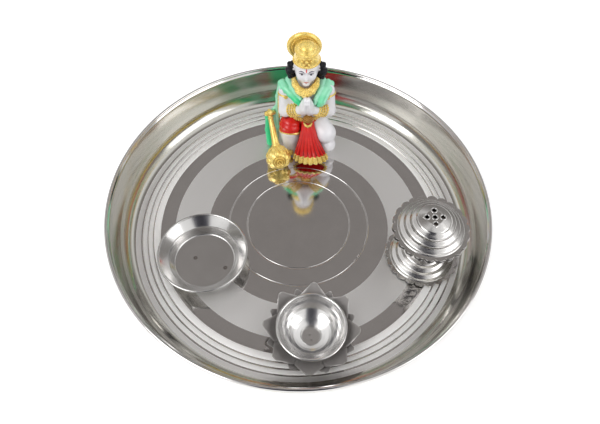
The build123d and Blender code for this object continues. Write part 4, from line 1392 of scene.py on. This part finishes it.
def jewels_field(p):
    collar = rope(p, collar_line, 1.0) - 0.2 * grains(p, 1.7)
    trim = rope(p, trim_line, 0.5)
    belt = stack(p, belt_sections, 0.7) - 0.2 * grains(p, 2.0)
    crescent = rope(p, crescent_line, 0.6)
    shape = np.minimum.reduce([collar, trim, belt, crescent])
    for side, (upper, elbow, hand) in arms.items():
        axis = spot(*hand[:3]) - spot(*elbow[:3])
        for share in bangle_shares[side]:
            ring = hoop(p, between(elbow, hand, share), axis, girth_at(elbow, hand, share), bangle_girth)
            shape = merge(shape, ring, 0.4)
        upper_axis = spot(*elbow[:3]) - spot(*upper[:3])
        middle = between(upper, elbow, armlet_share)
        band = hoop(p, middle, upper_axis, armlet_radius, armlet_girth)
        stone = egg(p, middle + spot(0, -armlet_radius, 0.6), (1.5, 0.8, 1.3)) - 0.1 * grains(p, 1.2)
        shape = merged(shape, (band, 0.3), (stone, 0.3))
    return shape


buckle_centre = spot(2.0, -10.2, 38.2)


def buckle_field(p):
    offset = p - buckle_centre
    far = np.hypot(offset[:, 0], offset[:, 2] * 0.95)
    disc = egg(p, buckle_centre, (3.9, 2.2, 3.9)) - 0.55 * grains(p, 2.1)
    return merge(disc, np.hypot(far - 3.3, offset[:, 1]) - 0.55, 0.3)


sculpt("figure_jewels", jewels_field, (-26, -19, 24), (27, 13, 74), 0.4)
sculpt("figure_buckle", buckle_field, (-3, -14, 33), (8, -6, 44), 0.34)

# %% Mace
mace_head, mace_tip = spot(-19.8, -23.8, 9.8), spot(-27.0, 2.6, 31.6)
mace_axis = (mace_tip - mace_head) / np.linalg.norm(mace_tip - mace_head)
mace_right = np.cross(mace_axis, (0, 0, 1))
mace_right = mace_right / np.linalg.norm(mace_right)
mace_front = np.cross(mace_right, mace_axis)
mace_radius, leaf_seat = 8.7, 7.5
rosette_way = spot(0.180, -0.911, 0.373)
rosette_pitch, rosette_end, rosette_clearance = 0.22, 0.66, 0.76
leaf_rows = [(0.60, 6), (1.15, 9), (1.75, 9), (2.35, 7)]
shaft_rings = [(9.6, 2.5, 0.8), (11.6, 2.1, 0.6), (30.0, 1.7, 0.6)]


def mace_head_field(p):
    """A ball with a rosette of rings on one side and rows of leaves, given by polar angle and count."""
    offset = p - mace_head
    far = np.linalg.norm(offset, axis=1)
    facing = np.arccos(np.clip(offset @ rosette_way / np.maximum(far, tiny), -1, 1))
    rings = 0.6 * np.cos(facing * 2 * pi / rosette_pitch) * np.clip((rosette_end - facing) / 0.1, 0, 1)
    shape = far - mace_radius - rings
    for row, (polar, count) in enumerate(leaf_rows):
        for turn in range(count):
            spin = 2 * pi * (turn + 0.5 * (row % 2)) / count
            around = mace_right * cos(spin) + mace_front * sin(spin)
            way = mace_axis * cos(polar) + around * sin(polar)
            south = around * cos(polar) - mace_axis * sin(polar)
            if way @ rosette_way < rosette_clearance:
                local = np.stack([offset @ np.cross(way, south), offset @ way - leaf_seat, offset @ south], 1)
                vein = 0.35 * np.exp(-(local[:, 0] / 0.5) ** 2)
                shape = merge(shape, egg(local, (0, 0, 0), (2.5, 2.2, 3.2)) + vein, 0.3)
    return shape


def mace_field(p):
    shaft = limb(p, mace_head + mace_axis * 9.5, mace_tip - mace_axis * 2, 2.7, 1.7)
    shape = merge(mace_head_field(p), shaft, 2.4)
    for step, radius, girth in shaft_rings:
        shape = merge(shape, hoop(p, mace_head + mace_axis * step, mace_axis, radius, girth), 0.3)
    knob_place = p - (mace_tip - mace_axis * 1.2)
    up = knob_place @ mace_axis
    wide = np.linalg.norm(knob_place - up[:, None] * mace_axis, axis=1)
    turn = np.arctan2(knob_place @ mace_front, knob_place @ mace_right)
    knob = np.hypot(np.maximum(wide - 2.3 - 0.6 * np.cos(5 * turn), 0), up) - 1.8
    end_ball = egg(p, mace_tip + mace_axis * 0.6, (1.5, 1.5, 1.5))
    return overlap(merged(shape, (knob, 0.5), (end_ball, 0.4)), -p[:, 2], 0.3)


sculpt("figure_mace", mace_field, (-34, -34, -1), (-9, 8, 37), 0.42)

# %% [markdown]
# Hand paint is thick and glossy and it pools darker in the creases. Here that darker colour also stands
# for the shade that falls in creases and between parts, so it is partly painted shade. How deep a point
# sits in a crease can be measured on the sculpt itself: step a little way out from the surface and ask how
# far away the figure still is. That becomes an attribute, and the paint mixes pooled paint and painted shade
# by it.

# %% Crease shade and meshes of the figure
crease_step = 1.5


# Painted shade and pooled paint: how closely the figure surrounds each point.
def crease_shade(piece):
    out = piece["points"] + piece["normals"] * crease_step
    clear = np.full(len(out), crease_step)
    for other in sculpted:
        close = np.all((out > other["low"] - 2) & (out < other["high"] + 2), axis=1)
        if close.any():
            clear[close] = np.minimum(clear[close], other["field"](out[close]))
    return np.clip(1 - clear / crease_step, 0, 1)


def figure_mesh(piece):
    mesh = bpy.data.meshes.new(piece["name"])
    mesh.from_pydata(((piece["points"] + figure_place) * mm).tolist(), [], piece["quads"].tolist())
    note(mesh, "shade_and_wash", crease_shade(piece))
    return mesh


def shawl_colour(points):
    """1 where the shawl is a strong green: on some rolls, behind, and along the edge of the tail."""
    across, behind, up = points.T
    distances = np.stack(shawl_strands(points), 1)
    nearest = distances.min(axis=1)
    lower = np.clip((62.5 - up) / 4, 0.3, 1)
    rolls = np.zeros(len(points))
    for roll, strength in deep_green_rolls.items():
        on_roll = np.clip(1 - (distances[:, roll] - nearest) / 0.9, 0, 1)
        rolls = np.maximum(rolls, strength * lower * on_roll)
    cape = np.clip((behind - 4) / 4, 0, 1)
    tail = np.clip((-across - 16) / 2, 0, 1) * np.clip((56 - up) / 6, 0, 1)
    tail_edge = np.clip((-across - 25.4) / 0.7, 0, 1)
    tail_back = np.clip((behind - 9) / 3, 0, 1)
    return np.where(tail > 0.5, np.maximum(tail_edge, tail_back), np.maximum(rolls, cape))


meshes = {piece["name"]: figure_mesh(piece) for piece in sculpted}
shawl_points = next(piece["points"] for piece in sculpted if piece["name"] == "figure_shawl")
note(meshes["figure_shawl"], "fold", shawl_colour(shawl_points))
print("figure meshes:", len(meshes))

# %% Paints
def paint(name, light, dark, shade_and_wash_colour, gloss=0.3, metal=0.0, strength=0.8):
    """Glossy hand paint: two mottled tones, darker in creases from pooled paint and painted shade."""
    material, tree, shader, place = finish_material(name)
    shade_and_wash = node(tree, "ShaderNodeAttribute", attribute_name="shade_and_wash").outputs["Fac"]
    cloud = noise(tree, place, scale=210.0, detail=4.0)
    brush = noise(tree, place, scale=1300.0, detail=2.0)
    tone = ramp(tree, cloud, [(0.32, dark), (0.68, light)]).outputs[0]
    # How far a point takes the darker colour: partly pooled paint, partly painted shade.
    depth = ramp(tree, shade_and_wash, [(0.28, 0.0), (0.95, strength)]).outputs[0]
    tone = mixed(tree, depth, tone, shade_and_wash_colour)
    tree.links.new(tone, shader.inputs["Base Color"])
    dull = maths(tree, "MULTIPLY_ADD", brush, 0.14, gloss - 0.07)
    tree.links.new(dull.outputs[0], shader.inputs["Roughness"])
    shader.inputs["Metallic"].default_value = metal
    shader.inputs["Coat Weight"].default_value = 0.35
    shader.inputs["Coat Roughness"].default_value = 0.16
    relief = node(tree, "ShaderNodeBump", {"Strength": 0.06, "Distance": 0.0001, "Height": brush})
    tree.links.new(relief.outputs[0], shader.inputs["Normal"])
    return material, tree, shader, place, tone


# The third colour of each paint is its darker colour in creases and between parts, partly painted shade.
white_paint = paint(
    "white_paint", (0.87, 0.86, 0.89), (0.82, 0.81, 0.84), (0.70, 0.62, 0.62), gloss=0.34, strength=0.25)[0]
red_paint = paint(
    "red_paint", (0.74, 0.018, 0.012), (0.64, 0.010, 0.008), (0.26, 0.003, 0.004), gloss=0.24)[0]
gold_paint = paint(
    "gold_paint", (0.96, 0.75, 0.24), (0.89, 0.63, 0.14), (0.42, 0.20, 0.015),
    gloss=0.28, metal=0.45, strength=0.65)[0]
buckle_paint = paint(
    "buckle_paint", (0.66, 0.36, 0.08), (0.46, 0.21, 0.035), (0.16, 0.05, 0.006), gloss=0.3, metal=0.5)[0]
black_paint, tree, shader, place, tone = paint(
    "black_paint", (0.012, 0.012, 0.017), (0.008, 0.008, 0.011), (0.003, 0.003, 0.004), gloss=0.36)
shader.inputs["Coat Weight"].default_value = 0.0
shader.inputs["Specular IOR Level"].default_value = 0.22
green_paint, tree, shader, place, tone = paint(
    "green_paint", (0.40, 0.86, 0.62), (0.33, 0.80, 0.54), (0.03, 0.36, 0.17), gloss=0.3, strength=0.7)
fold = node(tree, "ShaderNodeAttribute", attribute_name="fold").outputs["Fac"]
tree.links.new(mixed(tree, fold, tone, (0.035, 0.68, 0.27)), shader.inputs["Base Color"])

# %% Painted face
# The face's orange-brown darker colour is painted shade under the chin and in the hollows of the face.
face_paint, tree, shader, place, tone = paint(
    "face_paint", (0.87, 0.86, 0.89), (0.83, 0.82, 0.85), (0.60, 0.42, 0.36), gloss=0.34, strength=0.45)
offset = vectors(tree, "SUBTRACT", place, tuple(figure_place * mm))
offset_in_mm = vectors(tree, "MULTIPLY", offset, (1000.0, 1000.0, 1000.0))
parts = node(tree, "ShaderNodeSeparateXYZ", {0: offset_in_mm})
side = maths(tree, "ABSOLUTE", parts.outputs["X"])
face_front = -4.5
front = maths(tree, "LESS_THAN", parts.outputs["Y"], face_front)


def with_mark(tone, colour, across, up, wide, high, bend=0.0, soft=0.25):
    """A tone with a soft oval of another colour on both halves of the face. A bend arches it."""
    x = maths(tree, "DIVIDE", maths(tree, "SUBTRACT", side, across), wide)
    x_square = maths(tree, "MULTIPLY", x, x)
    arch = maths(tree, "MULTIPLY", x_square, bend)
    z = maths(tree, "SUBTRACT", maths(tree, "ADD", parts.outputs["Z"], arch), up)
    z = maths(tree, "DIVIDE", z, high)
    z_square = maths(tree, "MULTIPLY", z, z)
    far = maths(tree, "SQRT", maths(tree, "ADD", x_square, z_square))
    mask = node(tree, "ShaderNodeMapRange", {
        "Value": far, "From Min": 1.0 - soft, "From Max": 1.0 + soft, "To Min": 1.0, "To Max": 0.0})
    return mixed(tree, maths(tree, "MULTIPLY", mask, front), tone, colour)


face_marks = {
    "eye whites": dict(colour=(0.90, 0.90, 0.92), across=3.1, up=79.55, wide=1.75, high=0.78),
    "pupils": dict(colour=(0.02, 0.016, 0.03), across=3.1, up=79.6, wide=0.72, high=0.74),
    "lashes": dict(colour=(0.03, 0.025, 0.06), across=3.1, up=80.35, wide=2.0, high=0.22, bend=0.55),
    "brows": dict(colour=(0.05, 0.035, 0.09), across=3.2, up=82.3, wide=2.5, high=0.3, bend=0.75),
    "lips": dict(colour=(0.62, 0.10, 0.08), across=0.0, up=72.75, wide=1.7, high=0.55, bend=0.2, soft=0.4),
    "forehead mark": dict(colour=(0.68, 0.04, 0.03), across=0.0, up=82.8, wide=0.42, high=1.3)}
for mark in face_marks.values():
    tone = with_mark(tone, **mark)
tree.links.new(tone, shader.inputs["Base Color"])
print("face painted:", ", ".join(face_marks))

# %% [markdown]
# Rows of small beads edge the halo, the crown, the collar, the belt and the bangles. Each row follows a
# path, so Geometry Nodes make it: the path becomes a curve, the curve is divided at an even pitch, and one
# small ball stands on each point. A ball has only a few dozen faces, because there are hundreds of them.

# %% Geometry Nodes tree for beads along a path
bead_tree, given, beaded = open_tree("beads_along", Pitch="Float", Girth="Float", Material="Material")
course = node(bead_tree, "GeometryNodeMeshToCurve", {0: given["Geometry"]})
course = node(bead_tree, "GeometryNodeResampleCurve", {
    "Curve": course, "Length": given["Pitch"]}, mode="LENGTH")
ball = node(bead_tree, "GeometryNodeMeshUVSphere", {"Segments": 8, "Rings": 6, "Radius": given["Girth"]})
beads = node(bead_tree, "GeometryNodeInstanceOnPoints", {"Points": course, "Instance": ball.outputs["Mesh"]})
beads = node(bead_tree, "GeometryNodeRealizeInstances", {"Geometry": beads})
beads = node(bead_tree, "GeometryNodeSetMaterial", {"Geometry": beads, "Material": given["Material"]})
bead_tree.links.new(beads.outputs[0], beaded)


def bead_row(points, pitch, girth, closed):
    """Beads along a path of points in millimetres from the figure's foot."""
    path = bpy.data.meshes.new("path")
    count = len(points)
    edges = [(i, (i + 1) % count) for i in range(count if closed else count - 1)]
    path.from_pydata([tuple((spot(*p) + figure_place) * mm) for p in points], edges, [])
    return grown(bead_tree, path, Pitch=pitch * mm, Girth=girth * mm, Material=gold_paint)


def ring_points(centre, across, up, wide, high, count=72):
    turns = [2 * pi * i / count for i in range(count)]
    return [spot(*centre) + spot(*across) * (wide * cos(a)) + spot(*up) * (high * sin(a)) for a in turns]


print("bead tree has", len(bead_tree.nodes), "nodes")

# %% Rows of beads
x_way, y_way, z_way = spot(1, 0, 0), spot(0, 1, 0), spot(0, 0, 1)
bead_rows = [
    bead_row(ring_points(halo_centre, x_way, z_way, 11.35, 11.35), 1.55, 0.78, True),
    bead_row(ring_points(spot(*halo_centre) - 1.2 * y_way, x_way, z_way, 8.3, 8.3), 1.3, 0.6, True),
    bead_row(ring_points((*crown_place, 85.9), x_way, y_way, 9.1, 9.1), 1.3, 0.62, True),
    bead_row(ring_points((*crown_place, 94.1), x_way, y_way, 7.8, 7.8), 1.3, 0.6, True),
    bead_row(ring_points((*crown_place, 96.9), x_way, y_way, 5.4, 5.4), 1.3, 0.6, True)]
for level in (-0.9, 0.9):
    ring = ring_points(belt_centre + z_way * level, x_way, y_way, belt_half_width, belt_half_depth)
    bead_rows.append(bead_row(ring, 1.8, 0.8, True))
for side, (_, elbow, hand) in arms.items():
    axis = spot(*hand[:3]) - spot(*elbow[:3])
    axis = axis / np.linalg.norm(axis)
    across = np.cross(axis, z_way) / np.linalg.norm(np.cross(axis, z_way))
    for share in bangle_shares[side]:
        far = girth_at(elbow, hand, share) + 0.7
        ring = ring_points(between(elbow, hand, share), across, np.cross(axis, across), far, far)
        bead_rows.append(bead_row(ring, 1.9, 0.74, True))
for lean in (-0.75, 0.1, 0.95):
    out = z_way * sin(lean) - y_way * cos(lean)
    row = [spot(x, y, z) + girth * out for x, y, z, girth in collar_line[1:-1]]
    bead_rows.append(bead_row(row, 2.0, 0.95, False))
settle("figure_beads", joined(bead_rows), gold_paint, "figure", "gold_paint", sharp=80)

# %% Figure pieces
for name, material, slot, nodes in (
        ("figure_body", white_paint, "white_paint",
         ("chest", "right_arm", "left_arm", "hands", "right_leg", "left_thigh", "left_shin")),
        ("figure_head", face_paint, "white_paint", ("head",)),
        ("figure_hair", black_paint, "black_paint", ("hair",)),
        ("figure_crown", gold_paint, "gold_paint", ("crown",)),
        ("figure_halo", gold_paint, "gold_paint", ("halo",)),
        ("figure_shawl", green_paint, "green_paint", ("shawl",)),
        ("figure_cloth", red_paint, "red_paint", ("seat_cloth", "thigh_wrap")),
        ("figure_sash", red_paint, "red_paint", ("sash",)),
        ("figure_hems", gold_paint, "gold_paint", ("sash_hem", "wrap_hem")),
        ("figure_jewels", gold_paint, "gold_paint", ("necklace", "bangles", "armlets", "belt")),
        ("figure_buckle", buckle_paint, "gold_paint", ("buckle",)),
        ("figure_mace", gold_paint, "gold_paint", ("mace",))):
    settle(name, meshes[name], material, "figure", slot, *nodes, sharp=80)
